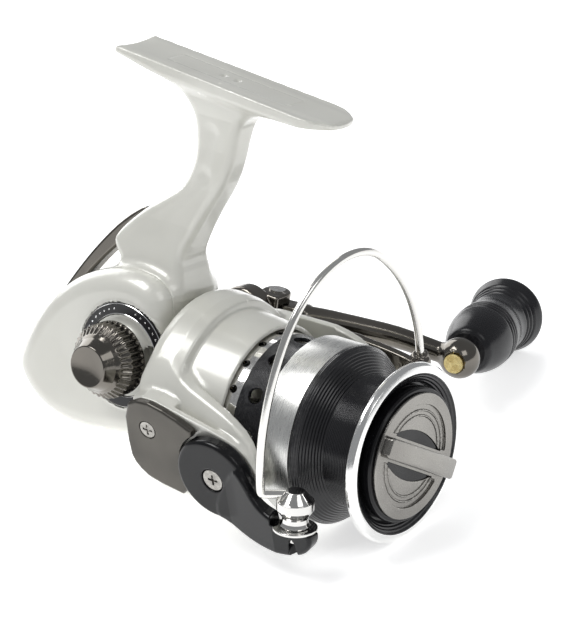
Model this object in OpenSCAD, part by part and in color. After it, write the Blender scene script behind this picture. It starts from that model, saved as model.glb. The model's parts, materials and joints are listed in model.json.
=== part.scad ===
// Front-drag spinning reel, 2000 size, with a folding handle.
// Row frame: origin at the centre of the foot seat, +X along the spool axis towards the drag
// knob, +Y towards the handle, +Z up. Units: mm.
// Most modules draw in the reel frame (spool front lip centre at 0,0,0); seat() moves it.

/* [Foot and stem] */
// Length of the foot along the rod
foot_length = 62.5; // [50:0.5:75]
// Width of the foot at its front
foot_width = 16.3; // [12:0.1:22]
// Width of the foot at its rear end
foot_rear_width = 14.9; // [11:0.1:20]
// Thickness of the foot at its tips
foot_tip = 1.5; // [1:0.1:3]
// Tilt of the foot seat to the spool axis, degrees
foot_tilt = 5.5; // [0:0.1:10]
// Height of the foot seat centre above the spool axis
seat_height = 76.9; // [65:0.1:90]
// Distance of the foot seat centre behind the front lip
seat_back = 54.4; // [45:0.1:65]
// Width of the stem across the reel
stem_width = 8.6; // [6:0.1:12]

/* [Housing] */
// Half thickness of the housing, handle side
housing_far = 12; // [10:0.1:16]
// Face of the side cover, measured from the spool axis
cover_face = 14; // [12:0.1:18]
// Plane where the side cover meets the housing
cover_split = 8.6; // [7:0.1:10]
// Wall thickness of the housing
housing_wall = 2.4; // [1.6:0.1:4]
// Outer radius of the round housing nose inside the rotor
nose_r = 18.3; // [16:0.1:19]
// Outer radius of the badge ring
badge_r = 12.7; // [10:0.1:14]
// Inner radius of the badge ring
badge_inner_r = 9.9; // [8:0.1:12]

/* [Gears and shafts] */
// Distance of the crank axis behind the front lip
gear_back = 72.5; // [65:0.1:80]
// Height of the crank axis above the spool axis
gear_height = 8.3; // [6:0.1:12]
// Outer radius of the drive gear
gear_r = 11.4; // [10:0.1:14]
// Teeth of the drive gear
gear_teeth = 49; // [30:1:60]
// Teeth of the pinion
pinion_teeth = 10; // [7:1:14]
// Radius over the pinion teeth
pinion_r = 3.8; // [3:0.1:5]
// Radius of the main shaft
shaft_r = 1.75; // [1.4:0.05:2.5]
// Radius of the handle shaft
handle_shaft_r = 2.4; // [2:0.1:3.5]
// Radial clearance of a running fit
fit = 0.05; // [0.01:0.01:0.1]

/* [Rotor and bail] */
// Outer radius of the rotor cup at its front rim
rotor_front_r = 21; // [19:0.1:24]
// Outer radius of the rotor cup at its shoulder
rotor_rear_r = 25; // [22:0.1:28]
// Turn of the rotor arms about the spool axis at rest, degrees
arm_turn = 19; // [0:1:45]
// Distance of the bail pivot axis behind the front lip
pivot_back = 34; // [30:0.1:40]
// Outer face of the rotor arms, from the spool axis
arm_face = 24.8; // [24:0.1:27]
// Half width of the bail
bail_half = 31.5; // [29:0.1:36]
// Height of the bail above the pivot line
bail_height = 48; // [40:0.5:56]
// Radius of the bail wire
wire_r = 1; // [0.8:0.05:1.5]
// Radius of the bail lever head
lever_head_r = 10.4; // [8:0.1:12]

/* [Spool and drag] */
// Radius of the spool lip and flange
lip_r = 21.5; // [18:0.1:26]
// Radius of the line drum
drum_r = 15.8; // [12:0.1:18]
// Radius of the spool skirt inside the rotor
skirt_r = 19.5; // [17:0.1:20]
// Radius of the drag knob body
knob_body_r = 16.2; // [14:0.1:18]
// Radius of the drag knob face
knob_face_r = 15.1; // [12:0.1:17]
// Turn of the drag knob bar, degrees
bar_turn = -24; // [-90:1:90]

/* [Handle] */
// Length of the crank from its axis to the ball
crank_length = 50; // [40:0.5:65]
// Turn of the crank below the spool axis at rest, degrees
crank_turn = 3.6; // [-180:0.1:180]
// Outward rake of the handle arm, degrees
arm_rake = 17; // [0:0.5:25]
// Distance of the hinge pin from the spool axis
hinge_out = 39.5; // [34:0.1:46]
// Radius of the ball at the end of the arm
ball_r = 5; // [4:0.1:7]
// Length of the handle knob
knob_length = 32; // [26:0.5:40]
// Radius of the handle knob at its outer end
knob_end_r = 9.4; // [7:0.1:12]

/* [Hidden] */
$fn = 64;
gear_x = -gear_back;
// Oscillation gear train: small gear on the crank, large gear behind it
small_teeth = 15;
large_teeth = 32;
gear_module = 0.72;
osc_spacing = gear_module * (small_teeth + large_teeth) / 2;
mesh_angle = 166;
osc_x = gear_x + osc_spacing * cos(mesh_angle);
osc_z = gear_height - osc_spacing * sin(mesh_angle);
small_root = gear_module * (small_teeth / 2 - 0.85);
large_root = gear_module * (large_teeth / 2 - 0.85);
// Crank pin of the oscillation gear and the slot it drives at rest
pin_circle = 5.8;
slot_x = 4;
pivot_x = -pivot_back;
eps = 0.02;

// Housing outline in the middle plane, as [x, z]
housing_outline = [
  [-62, -10.5], [-62, 22], [-65, 26.5], [-70, 28.3], [-78, 28], [-86, 25], [-92, 21.3],
  [-97.5, 15.8], [-102, 9], [-105, 2.4], [-106, -2.5], [-103.4, -6.8], [-99.4, -10.4],
  [-94, -13], [-87, -14], [-76, -13], [-68, -11.6]
];
// Stem side profile from the foot down to the housing, as [x, z]
stem_outline = [
  [-85, 78.4], [-78, 77.2], [-72, 75], [-67.6, 72], [-65, 68.6], [-63.7, 65], [-63.3, 60],
  [-63.5, 55.5], [-65.8, 49.6], [-71, 45.6], [-78, 40.6], [-84, 34.2], [-84.4, 31.5],
  [-80.6, 27.4], [-80, 20], [-62.5, 20], [-62.6, 27], [-64.4, 32], [-62.2, 37], [-58.4, 44.4],
  [-54.4, 51.4], [-52.4, 58], [-51.6, 64], [-50.4, 68], [-47, 70.6], [-41, 72], [-33, 72.8],
  [-24.6, 73], [-24.6, 73.6], [-54.4, 76.2], [-84.9, 79.2]
];
// Stem front profile half widths at heights, as [y, z]
stem_half = stem_width / 2;
foot_half = foot_width / 2;
foot_rear_half = foot_rear_width / 2;

// Axis helpers: local Z becomes the named axis
module seat() { translate([seat_back, 0, -seat_height]) children(); }
module on_spool(x) { translate([x, 0, 0]) rotate([0, 90, 0]) children(); }
module on_crank(y) { translate([gear_x, y, gear_height]) rotate([-90, 0, 0]) children(); }
module arm_frame() { rotate([arm_turn, 0, 0]) children(); }
// Pivot axis of the bail; local Z points to the near side, d is the distance from the centre
module on_pivot(d) {
  arm_frame() translate([pivot_x, -d, 0]) rotate([90, 0, 0]) children();
}
// Crank frame: local X along the arm, local Y outwards
module crank_frame() {
  translate([gear_x, 0, gear_height]) rotate([0, crank_turn, 0]) children();
}
hinge_x = 4.2;
// Handle frame: origin at the hinge pin, local X along the raked arm
module handle_frame() {
  crank_frame() translate([hinge_x, hinge_out, 0]) rotate([0, 0, arm_rake]) children();
}
arm_reach = (crank_length - hinge_x) / cos(arm_rake);
// Knob frame: origin at the ball centre, local Z along the spindle
module knob_frame() { handle_frame() translate([arm_reach, 0, 0]) rotate([-90, 0, 0]) children(); }

module tube(r, bore, h) {
  difference() {
    cylinder(r = r, h = h);
    translate([0, 0, -1]) cylinder(r = bore, h = h + 2);
  }
}
// Ring section revolved about the spool axis; section is [radius, x]
module revolve(section) {
  rotate([0, 90, 0]) rotate_extrude() polygon(section);
}
// A flat outline in X and Z, extruded along Y from y0 to y1
module across(outline, y0, y1) {
  translate([0, y1, 0]) rotate([90, 0, 0]) linear_extrude(y1 - y0) polygon(outline);
}
module phillips(depth) {
  for (a = [0, 90]) rotate([0, 0, a]) translate([-1.4, -0.3, -depth]) cube([2.8, 0.6, depth + 1]);
}
module cross_screw(head_r, head_h, r, length) {
  difference() {
    union() {
      translate([0, 0, -length]) cylinder(r = r, h = length + eps);
      cylinder(r = head_r, h = head_h);
    }
    translate([0, 0, head_h]) phillips(head_h * 0.6);
  }
}

// ---- Foot, stem and housing ----
module housing_slice(y, inset) {
  translate([0, y, 0]) rotate([90, 0, 0]) linear_extrude(0.02)
    offset(delta = -inset) polygon(housing_outline);
}
module housing_solid() {
  hull() {
    housing_slice(-cover_face, 5.2);
    housing_slice(-12.6, 2.4);
    housing_slice(-9.4, 0.6);
    housing_slice(-4, 0);
    housing_slice(4, 0);
    housing_slice(8, 0.8);
    housing_slice(10.8, 2.6);
    housing_slice(housing_far, 5);
  }
}
module housing_cavity() {
  translate([0, housing_far - housing_wall, 0]) rotate([90, 0, 0])
    linear_extrude(housing_far - housing_wall + cover_split + 1)
      intersection() {
        offset(delta = -housing_wall) polygon(housing_outline);
        translate([-101, -14]) square([37.6, 42]);
      }
}
module foot_blank() {
  tip = 9;
  translate([-seat_back, 0, seat_height]) rotate([0, foot_tilt, 0]) intersection() {
    translate([0, 0, -6]) linear_extrude(6) hull() {
      translate([-foot_length / 2, -foot_rear_half]) square([1, foot_rear_width]);
      translate([foot_length / 2 - tip, -foot_half]) square([1, foot_width]);
      translate([foot_length / 2 - tip, 0]) scale([1, foot_half / tip]) circle(r = tip);
    }
    across([[-foot_length / 2, 0], [-foot_length / 2, -foot_tip], [-17, -4.6], [-8, -6],
            [8, -6], [16, -4], [foot_length / 2, -foot_tip], [foot_length / 2, 0]], -9, 9);
  }
}
module foot_trough() {
  trough_r = 44;
  sink = 0.55;
  translate([-seat_back, 0, seat_height]) rotate([0, foot_tilt, 0])
    translate([-foot_length / 2 - 1, 0, trough_r - sink]) rotate([0, 90, 0])
      cylinder(r = trough_r, h = foot_length + 2, $fn = 240);
}
module foot_panel() {
  translate([-seat_back, 0, seat_height]) rotate([0, foot_tilt, 0]) {
    for (y = [-2.4, 2]) translate([-19, y, -0.95]) cube([36, 0.4, 2]);
    for (x = [-5.4, -1.4]) translate([x, -1.2, -1.3]) cube([2, 2, 2]);
  }
}
module stem() {
  intersection() {
    across(stem_outline, -9, 9);
    translate([-110, 0, 0]) rotate([90, 0, 90]) linear_extrude(100) polygon([
      [-7.6, 79.4], [-7.2, 76], [-stem_half, 68], [-stem_half * 0.94, 60], [-stem_half, 50],
      [-stem_half * 1.15, 40], [-6.6, 30], [-7.6, 18], [7.6, 18], [6.6, 30],
      [stem_half * 1.15, 40], [stem_half, 50], [stem_half * 0.94, 60], [stem_half, 68],
      [7.2, 76], [7.6, 79.4]
    ]);
  }
}
module body_frame() {
  color("#dedccd") difference() {
    union() {
      difference() {
        housing_solid();
        translate([-120, -30, -30]) cube([80, 30 - cover_split, 80]);
      }
      on_spool(-66) cylinder(r = nose_r, h = 8.6);
      on_spool(-58) cylinder(r = 10.6, h = 1.2);
      difference() {
        stem();
        on_crank(-cover_split - 12) cylinder(r = 17, h = 12);
      }
      foot_blank();
      on_crank(9) cylinder(r = 9, h = 8);
    }
    foot_trough();
    foot_panel();
    housing_cavity();
    on_spool(-64.6) cylinder(r = nose_r - 1.6, h = 5.2);
    translate([osc_x, -9, osc_z]) rotate([-90, 0, 0]) cylinder(r = 12.4, h = 4);
    on_crank(3.6) cylinder(r = gear_r + 0.3, h = 3.6);
    on_spool(-62) cylinder(r = 6.5, h = 4.4);
    on_spool(-60) cylinder(r = 4.6, h = 5);
    on_crank(-40) cylinder(r = handle_shaft_r + 1.2, h = 80);
    on_crank(13.8) cylinder(r = 6, h = 5);
    for (p = screw_points) translate([p[0], 0, p[1]]) rotate([-90, 0, 0]) {
      translate([0, 0, -cover_split - 1]) cylinder(r = 1, h = 30);
      translate([0, 0, housing_far - 2.4]) cylinder(r = 1.75, h = 6);
    }
    translate([gear_x, 0, gear_height]) rotate([-90, 0, 0]) translate([0, 0, -25])
      cylinder(r = 13.2, h = 25 - cover_split);
    translate([-102.6, -2.6, rail_z]) rotate([0, 90, 0]) cylinder(r = 0.8, h = 3);
    on_stem_screw() {
      translate([0, 0, -5]) cylinder(r = 1.2, h = 6);
      cylinder(r = 2.65, h = 8);
    }
  }
  // Carrier of the pinion bushing and the rail
  color("#dedccd") difference() {
    translate([-80.5, -4.4, -12.2]) cube([2.5, 8.1, 17]);
    on_spool(-81) cylinder(r = 3.4, h = 4);
    translate([-81, -2.6, rail_z]) rotate([0, 90, 0]) cylinder(r = 0.8, h = 4);
  }
  // Posts for the cover screws
  color("#dedccd") for (p = screw_points) translate([p[0], 0, p[1]]) rotate([-90, 0, 0])
    difference() {
      translate([0, 0, -cover_split]) cylinder(r = 2, h = cover_split + housing_far - 2.4);
      translate([0, 0, -20]) cylinder(r = 1, h = 40);
      translate([0, 0, housing_far - 2.4]) cylinder(r = 1.75, h = 6);
    }
}
screw_points = [[-69.5, -7.4], [-102, -1.2], [-78.5, 22.6]];
rail_z = -6.2;
module side_cover() {
  color("#e2e0d2") difference() {
    cover_shell();
    for (p = screw_points) translate([p[0], -11.4, p[1]]) rotate([-90, 0, 0])
      cylinder(r = 0.97, h = 4);
  }
}
module cover_shell() {
  difference() {
    union() {
      intersection() {
        housing_solid();
        translate([-120, -30, -30]) cube([80, 30 - cover_split - eps, 80]);
      }
      on_crank(-cover_face) cylinder(r = badge_r + 0.25, h = cover_face - cover_split - eps);
      on_crank(-cover_face - 1.6) cylinder(r1 = 6.8, r2 = 8, h = 2);
    }
    on_spool(-66.3) cylinder(r = nose_r + 0.2, h = 6);
    intersection() {
      translate([0, -cover_face + housing_wall, 0]) mirror([0, 1, 0]) rotate([90, 0, 0])
        linear_extrude(8) offset(delta = -5.6) polygon(housing_outline);
      translate([-110, -12, -20]) cube([43.4, 10, 50]);
    }
    on_crank(-cover_face - 0.02) tube(badge_r + 0.02, badge_inner_r - 0.02, 0.5);
    on_crank(-cover_face - 3) cylinder(r = handle_shaft_r + 1.4, h = 10);
    on_crank(-cover_face + 1) cylinder(r = 5.5, h = 8);
  }
  // Inner bosses for the crank bearing, the oscillation gear and the cover screws
  on_crank(-cover_face + housing_wall - 0.4) tube(7.2, 5.5, 2.8);
  translate([osc_x, -cover_face + housing_wall - 0.4, osc_z]) rotate([-90, 0, 0])
    tube(3, 1.66, 2.8);
  for (p = screw_points) translate([p[0], -cover_face + housing_wall - 0.4, p[1]])
    rotate([-90, 0, 0]) cylinder(r = 2, h = 3.4 - eps);
}
module rear_guard() {
  outer = [[-77.6, 41.8], [-84.8, 36.2], [-91.6, 28.4], [-97.4, 20.6], [-102.6, 12.4],
    [-106.2, 5], [-108, -1.4], [-107.6, -3.8], [-102.4, -10.6], [-96, -14]];
  inner = [[-94.8, -12.2], [-100.4, -9.2], [-105.2, -3.2], [-105.6, -1.6], [-103.4, 4.6],
    [-99.6, 11.8], [-94.8, 19], [-89.6, 25.4], [-83.6, 31.6], [-82.6, 34.8], [-77, 40.4]];
  color("#5b564e") difference() {
    across(concat(outer, inner), -2.6, 1.8);
    across(housing_outline, -6, 6);
    across(stem_outline, -6, 6);
  }
}
module badge_ring() {
  color("#1b1b1d") on_crank(-cover_face - 0.3) tube(badge_r, badge_inner_r, 0.76);
}
module cover_screws() {
  color("#8d8d8a") for (p = screw_points) translate([p[0], housing_far - 2.4, p[1]])
    rotate([-90, 0, 0]) cross_screw(1.7, 0.9, 0.95, 20.4);
}
module on_stem_screw() { translate([-72.6, 10.4, 23]) rotate([-70, 0, 0]) children(); }
module stem_screw() {
  color("#a9a7a1") on_stem_screw() {
    cylinder(r = 2.6, h = 1.2);
    translate([0, 0, -4]) cylinder(r = 1.15, h = 4.1);
  }
}
module gear_bearings() {
  color("#9a9a98") {
    on_crank(-cover_face + 1.04) tube(5.46, 3.04, 2.4);
    on_crank(13.9) tube(5.96, 3.04, 2.6);
  }
}
module pinion_bearing() { color("#9a9a98") on_spool(-61.6) tube(6.46, 3.04, 3); }
module pinion_bushing() { color("#b08d4a") on_spool(-80.4) tube(3.36, 2.66, 2.4); }
module anti_reverse_clutch() {
  color("#7c7c7a") on_spool(-56.7) difference() {
    tube(9.6, 4.3, 2.6);
    for (a = [0:60:300]) rotate([0, 0, a]) translate([5.3, 0, -1]) cylinder(r = 0.9, h = 5);
  }
  color("#b9b9b6") on_spool(-56.6) for (a = [0:60:300]) rotate([0, 0, a])
    translate([5.3, 0, 0]) cylinder(r = 0.88, h = 2.4);
}
module slider_rail() {
  color("#b9b9b6") translate([-102.5, -2.6, rail_z]) rotate([0, 90, 0])
    cylinder(r = 0.75, h = 24.4);
}

// ---- Crank group ----
module handle_shaft() {
  color("#8f8c86") {
    on_crank(-20) cylinder(r = handle_shaft_r, h = 38);
    on_crank(17.9) cylinder(r = handle_shaft_r + 0.6, h = 8);
  }
}
module drive_gear() {
  tooth = 0.36;
  color("#a8a49a") {
    difference() {
      union() {
        on_crank(5.2) cylinder(r = gear_r, h = 1.6);
        on_crank(-12.4) cylinder(r = 3, h = 29);
        on_crank(-7.4) cylinder(r = small_root, h = 2.4);
        on_crank(5) cylinder(r = 5.4, h = 3.8);
      }
      on_crank(-14) cylinder(r = handle_shaft_r + 0.01, h = 34);
    }
    on_crank(4.05) for (i = [0:gear_teeth - 1]) rotate([0, 0, i * 360 / gear_teeth])
      translate([gear_r - 3, -tooth, 0]) cube([2.9, 2 * tooth, 1.2]);
    on_crank(-7.4) for (i = [0:small_teeth - 1])
      rotate([0, 0, (i + 0.5) * 360 / small_teeth + mesh_angle])
        translate([small_root - 0.2, -0.38, 0]) cube([1.3, 0.76, 2.4]);
  }
}
module handle_cap() {
  color("#6e6a62") difference() {
    on_crank(0) rotate_extrude() polygon([
      [handle_shaft_r + 0.01, -16.2], [8.2, -16.2], [9, -17], [9, -21.4], [8.4, -22],
      [6.4, -24.6], [5.4, -26.6], [5, -27.4], [0, -26.9], [0, -20.1], [handle_shaft_r + 0.01, -20.1]
    ]);
    for (i = [0:29]) on_crank(-21.2) rotate([0, 0, i * 12]) translate([9.35, 0, 0])
      cylinder(r = 0.6, h = 4, $fn = 24);
  }
}
module hinge_fork() {
  color("#7d786f") crank_frame() difference() {
    union() {
      translate([0, 17.2, 0]) rotate([-90, 0, 0]) cylinder(r = 4.6, h = 14);
      translate([0, 31, 0]) rotate([-90, 0, 0]) cylinder(r = 7, h = 5.4);
      translate([hinge_x - 3.4, 36, -6]) cube([6.8, 3.6, 12]);
      translate([hinge_x, hinge_out, -6]) cylinder(r = 3.4, h = 12);
    }
    translate([0, 17, 0]) rotate([-90, 0, 0]) cylinder(r = handle_shaft_r + 0.62, h = 9.2);
    translate([-8, 36.3, -3.6]) cube([20, 12, 7.2]);
    translate([hinge_x, hinge_out, -9]) cylinder(r = 1.26, h = 18);
  }
}
module hinge_pin() {
  color("#b9b9b6") crank_frame() translate([hinge_x, hinge_out, -6.4]) {
    cylinder(r = 1.25, h = 12.8);
    cylinder(r = 2, h = 0.4);
    translate([0, 0, 12.4]) cylinder(r = 2, h = 0.4);
  }
}
module handle_arm() {
  color("#7d786f") handle_frame() difference() {
    union() {
      translate([0, 0, -3.4]) cylinder(r = 3, h = 6.8);
      translate([0, -2.4, -3.4]) cube([8, 5.4, 6.8]);
      hull() {
        translate([7.5, 0.3, 0]) rotate([0, 90, 0]) cylinder(r = 3.6, h = 1, $fn = 32);
        translate([16, 0.9, 0.8]) rotate([0, 90, 0]) cylinder(r = 3, h = 1, $fn = 32);
      }
      hull() {
        translate([16, 0.9, 0.8]) rotate([0, 90, 0]) cylinder(r = 3, h = 1, $fn = 32);
        translate([30, 0.9, 1.1]) rotate([0, 90, 0]) cylinder(r = 2.7, h = 1, $fn = 32);
      }
      hull() {
        translate([30, 0.9, 1.1]) rotate([0, 90, 0]) cylinder(r = 2.7, h = 1, $fn = 32);
        translate([arm_reach - 3, 0, 0]) rotate([0, 90, 0]) cylinder(r = 2.5, h = 1, $fn = 32);
      }
      translate([arm_reach, 0, 0]) sphere(r = ball_r);
    }
    translate([0, 0, -5]) cylinder(r = 1.25 + fit, h = 10);
    translate([arm_reach, -7, 0]) rotate([-90, 0, 0]) cylinder(r = 1.6, h = 14);
    translate([arm_reach, -6, 0]) rotate([-90, 0, 0]) cylinder(r = 2.5, h = 2.2);
  }
}
module knob_spindle() {
  color("#c2a24c") knob_frame() {
    translate([0, 0, -3.8]) cylinder(r = 1.58, h = 33);
    translate([0, 0, -4.9]) cylinder(r = 2.4, h = 1.1);
    translate([0, 0, 29]) cylinder(r = 2.2, h = 1);
  }
}
module handle_knob() {
  k = knob_length;
  color("#17171a") knob_frame() translate([0, 0, 5.3]) difference() {
    rotate_extrude() polygon([
      [1.58 + fit, 0], [4.6, 0], [5.6, 0.8], [6.3, 2.4], [7.4, 6], [8.1, 10], [8.2, 14],
      [7.8, 18], [7.3, 21], [7.4, 24], [8.2, 27.4], [knob_end_r, k - 1.4], [knob_end_r - 0.3, k],
      [knob_end_r - 1.6, k + 0.2], [7, k + 0.2], [7, k - 1.2], [3, k - 1.2], [3, 23.5],
      [1.58 + fit, 23.5]
    ]);
    for (z = [13, 14.3, 15.6, 25, 26.3, 27.6]) translate([0, 0, z]) rotate_extrude()
      translate([7.9 + (z > 20 ? (z - 26) * 0.22 - 0.1 : (14 - z) * 0.04 + 0.3), 0])
        circle(r = 0.3, $fn = 16);
  }
}
module knob_end_cap() {
  color("#17171a") knob_frame() translate([0, 0, 5.3 + knob_length - 1.1])
    cylinder(r = 6.95, h = 1);
}

// ---- Rotor group ----
module pinion_gear() {
  color("#b49a5a") difference() {
    union() {
      on_spool(-80.2) cylinder(r = 2.6, h = 8.9);
      on_spool(-71.4) cylinder(r = 2.9, h = 9.4);
      on_spool(-62.1) cylinder(r = 3, h = 14.5);
      on_spool(-71.1) for (i = [0:pinion_teeth - 1]) rotate([0, 0, i * 360 / pinion_teeth])
        translate([2.6, -0.5, 0]) cube([pinion_r - 2.65, 1, 8.7]);
    }
    on_spool(-82) cylinder(r = shaft_r + fit, h = 36);
  }
}
module clutch_sleeve() { color("#b9b9b6") on_spool(-56.5) tube(4.24, 3.01, 2.9); }
module rotor_arm() {
  difference() {
    intersection() {
      across([[-59.9, -7], [-56, -10], [-40, -10.4], [-34, -10.4], [-27, -8], [-23.6, -3],
              [-23.6, 3], [-27, 8], [-34, 10.4], [-44, 12.6], [-54, 15], [-59.9, 13]], -40, 0);
      linear_extrude(60, center = true) polygon([[-59.9, -19.6], [-59.9, -23.4],
        [-58, -arm_face], [-24, -arm_face], [-22.6, -24], [-22.6, -22.9], [-38, -22.9],
        [-46, -22], [-50, -19.6]]);
    }
    on_spool(-70) cylinder(r = 19.6, h = 60);
    // pocket between the arm and the cup
    translate([-47, -23.2, -20]) cube([12, 2.4, 40]);
    translate([pivot_x, -20, 0]) rotate([90, 0, 0]) cylinder(r = 1.45, h = 10);
  }
}
module rotor() {
  color("#e3e1d4") arm_frame() difference() {
    rotor_shell();
    for (a = [0, 180]) rotate([a, 0, 0]) translate([-53.3, -20, 7.2]) rotate([90, 0, 0])
      cylinder(r = 0.98, h = 10);
  }
}
module rotor_shell() {
  union() {
    difference() {
      revolve([[19.2, -53], [19.2, -59.9], [23.4, -59.9], [24.6, -58.8], [rotor_rear_r, -57],
        [24.2, -52], [22.8, -46], [rotor_front_r, -37.2], [19.9, -37.2], [19.9, -51],
        [6, -51], [6, -50.4], [3.01, -50.4], [3.01, -53]]);
      for (a = [30:60:330]) rotate([a, 0, 0]) translate([-54, 0, 13]) rotate([0, 90, 0])
        cylinder(r = 2.4, h = 5);
    }
    rotor_arm();
    rotate([180, 0, 0]) rotor_arm();
  }
}
module rotor_nut() {
  color("#a9a7a1") on_spool(-50.36) difference() {
    cylinder(r = 5.2, h = 2.6, $fn = 6);
    translate([0, 0, -1]) cylinder(r = 3.01, h = 5);
  }
}
module arm_cover() {
  outline = [[-59.6, 12.4], [-60.2, -1], [-58.6, -4.6], [-54.6, -7.4], [-42.6, -9.4],
    [-38, 9.6], [-46, 13.6], [-54, 15.4]];
  inner = [[-58, 11], [-58.6, -0.6], [-54, -5.8], [-44.6, -7.4], [-44.6, 12], [-54, 13.6]];
  difference() {
    across(outline, -27, -arm_face - 0.02);
    across(inner, -26.2, -arm_face + 1);
    translate([pivot_x, -20, 0]) rotate([90, 0, 0]) cylinder(r = lever_head_r + 0.5, h = 10);
    translate([-53.3, -20, 7.2]) rotate([90, 0, 0]) cylinder(r = 1, h = 10);
    translate([-53.3, -26.5, 7.2]) rotate([90, 0, 0]) cylinder(r = 2.3, h = 2);
  }
  difference() {
    translate([-53.3, -arm_face - 0.02, 7.2]) rotate([90, 0, 0]) cylinder(r = 2, h = 1.4);
    translate([-53.3, -20, 7.2]) rotate([90, 0, 0]) cylinder(r = 1, h = 10);
  }
}
module arm_cover_near() { color("#5d5b58") arm_frame() arm_cover(); }
module arm_cover_far() { color("#5d5b58") arm_frame() rotate([180, 0, 0]) arm_cover(); }
module arm_cover_screws() {
  color("#9c9a94") arm_frame() for (a = [0, 180]) rotate([a, 0, 0])
    translate([-53.3, -26.5, 7.2]) rotate([90, 0, 0]) cross_screw(2.1, 0.4, 0.96, 3.6);
}
module pivot_screws() {
  color("#9c9a94") for (a = [0, 180]) rotate([a, 0, 0]) rotate([a == 180 ? -2 * arm_turn : 0, 0, 0])
    on_pivot(0) {
      translate([0, 0, 23.2]) cylinder(r = 1.4, h = 4.7);
      difference() {
        translate([0, 0, 27.84]) cylinder(r = 2.7, h = 0.8);
        translate([0, 0, 28.64]) phillips(0.5);
      }
    }
}
module bail_spring() {
  color("#b9b9b6") arm_frame() translate([-55.6, -25.5, 1.2]) rotate([0, 90, 0])
    for (i = [0:10]) translate([0, 0, i]) rotate_extrude() translate([0.5, 0])
      circle(r = 0.13, $fn = 16);
}

// ---- Bail group ----
boss_x = -11.2;
roller_tilt = 14;
// Roller frame: local Z along the roller axis, origin at the lever tip
module on_roller(z) {
  arm_frame() translate([-10.6, -29.6, -7]) rotate([-roller_tilt, 0, 0]) translate([0, 0, z])
    children();
}
module bail_lever() {
  tail = [[-27, 6.6], [-23.6, 3], [-21.4, -1], [-18, -3.2], [-13, -3.8], [-6.2, -3.8],
    [-4.8, -6], [-5.6, -9], [-8.4, -11.8], [-14, -13.4], [-22, -13.8], [-29, -12.2], [-36, -9]];
  color("#161619") arm_frame() difference() {
    union() {
      translate([pivot_x, -arm_face - 0.2, 0]) rotate([90, 0, 0])
        cylinder(r = lever_head_r, h = 3.9);
      intersection() {
        across(tail, -31.4, -27.4);
        translate([0, 0, -30]) linear_extrude(60) polygon([[-45, -27], [-26, -27.2],
          [-5, -27.4], [-4, -31.4], [-16, -31.4], [-30, -28.9], [-45, -28.9]]);
      }
    }
    translate([pivot_x, -20, 0]) rotate([90, 0, 0]) cylinder(r = 1.4 + fit, h = 12);
    translate([pivot_x, -27.8, 0]) rotate([90, 0, 0]) cylinder(r = 3, h = 3);
    translate([-10.6, -29.6, -7]) rotate([-roller_tilt, 0, 0]) translate([0, 0, 1.2])
      cylinder(r = 6, h = 14);
    translate([-10.6, -29.6, -7]) rotate([-roller_tilt, 0, 0]) translate([0, 0, -8])
      cylinder(r = 1.3, h = 20);
  }
}
module roller_pin() {
  color("#b9b9b6") on_roller(0) {
    translate([0, 0, -2]) cylinder(r = 1.25, h = 8.6);
    translate([0, 0, 1.22]) cylinder(r = 5.2, h = 0.7);
  }
}
module line_roller() {
  color("#d8d8d6") on_roller(0) rotate_extrude() polygon([
    [1.25 + fit, 2.1], [3.4, 2.1], [3.5, 2.5], [3.1, 3.2], [3, 4.2], [3.3, 4.9], [3.5, 5],
    [1.25 + fit, 5]]);
}
// Route of the bail wire in the arm frame: near end, side arc, top arc, side arc, far end
wire_lean = 5.5;
wire_back = -17.6;
wire_top_r = 24;
wire_side_r = 56;
wire_break = 50;
wire_span = wire_side_r - wire_top_r;
wire_end = [-11.6, -27.4, 2.5];
wire_end_turn = [0, 96, 35];
function in_arm(p) = [wire_back + p[1] * sin(wire_lean), p[0], p[1] * cos(wire_lean)];
function side_point(m, a) = in_arm([m * (wire_side_r * cos(a) - wire_span * sin(wire_break)),
  bail_height - wire_top_r - wire_span * cos(wire_break) + wire_side_r * sin(a)]);
function top_point(a) = in_arm([-wire_top_r * cos(a),
  bail_height - wire_top_r + wire_top_r * sin(a)]);
wire_route = concat(
  [wire_end, [-16.49, -30.82, 3.13], [-16.94, -31.16, 3.34], [-17.16, -31.4, 3.76]],
  [for (a = [2:3.8:40]) side_point(-1, a)],
  [for (a = [44:4:136]) top_point(a)],
  [for (a = [40:-3.8:0]) side_point(1, a)],
  [[-17.44, 31.5, 1.7]]);
function unit(v) = v / norm(v);
function route_dir(r, i) = unit(r[min(i + 1, len(r) - 1)] - r[max(i - 1, 0)]);
function ring_point(c, t, n, w, a) = let (u = unit(n - (n * t) * t), v = cross(t, u))
  c + w * (cos(a) * u + sin(a) * v);
module sweep(r, n, w, sides) {
  last = len(r) - 1;
  points = [for (i = [0:last]) for (k = [0:sides - 1])
    ring_point(r[i], route_dir(r, i), n, w, k * 360 / sides)];
  walls = [for (i = [0:last - 1]) for (k = [0:sides - 1])
    [(i + 1) * sides + k, (i + 1) * sides + (k + 1) % sides, i * sides + (k + 1) % sides,
     i * sides + k]];
  start = [for (k = [0:sides - 1]) k];
  end = [for (k = [sides - 1:-1:0]) last * sides + k];
  polyhedron(points, concat(walls, [start, end]), convexity = 6);
}
module wire_socket(w) {
  arm_frame() translate(wire_end) rotate(wire_end_turn) translate([0, 0, -9])
    cylinder(r = w, h = 9.03);
}
module wire_boss() {
  color("#a9a7a1") difference() {
    on_roller(5.2) {
      cylinder(r1 = 3.6, r2 = 4.4, h = 1.2);
      translate([0, 0, 1.18]) cylinder(r = 4.4, h = 2);
      translate([0, 0, 3.16]) cylinder(r1 = 4.1, r2 = 2.2, h = 2.4);
    }
    on_roller(4.2) cylinder(r = 1.26, h = 2.41);
    wire_socket(wire_r + 0.02);
  }
}
module bail_wire() {
  color("#cfcdc8") arm_frame()
    sweep(wire_route, [cos(wire_lean), 0, -sin(wire_lean)], wire_r, 12);
}
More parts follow.
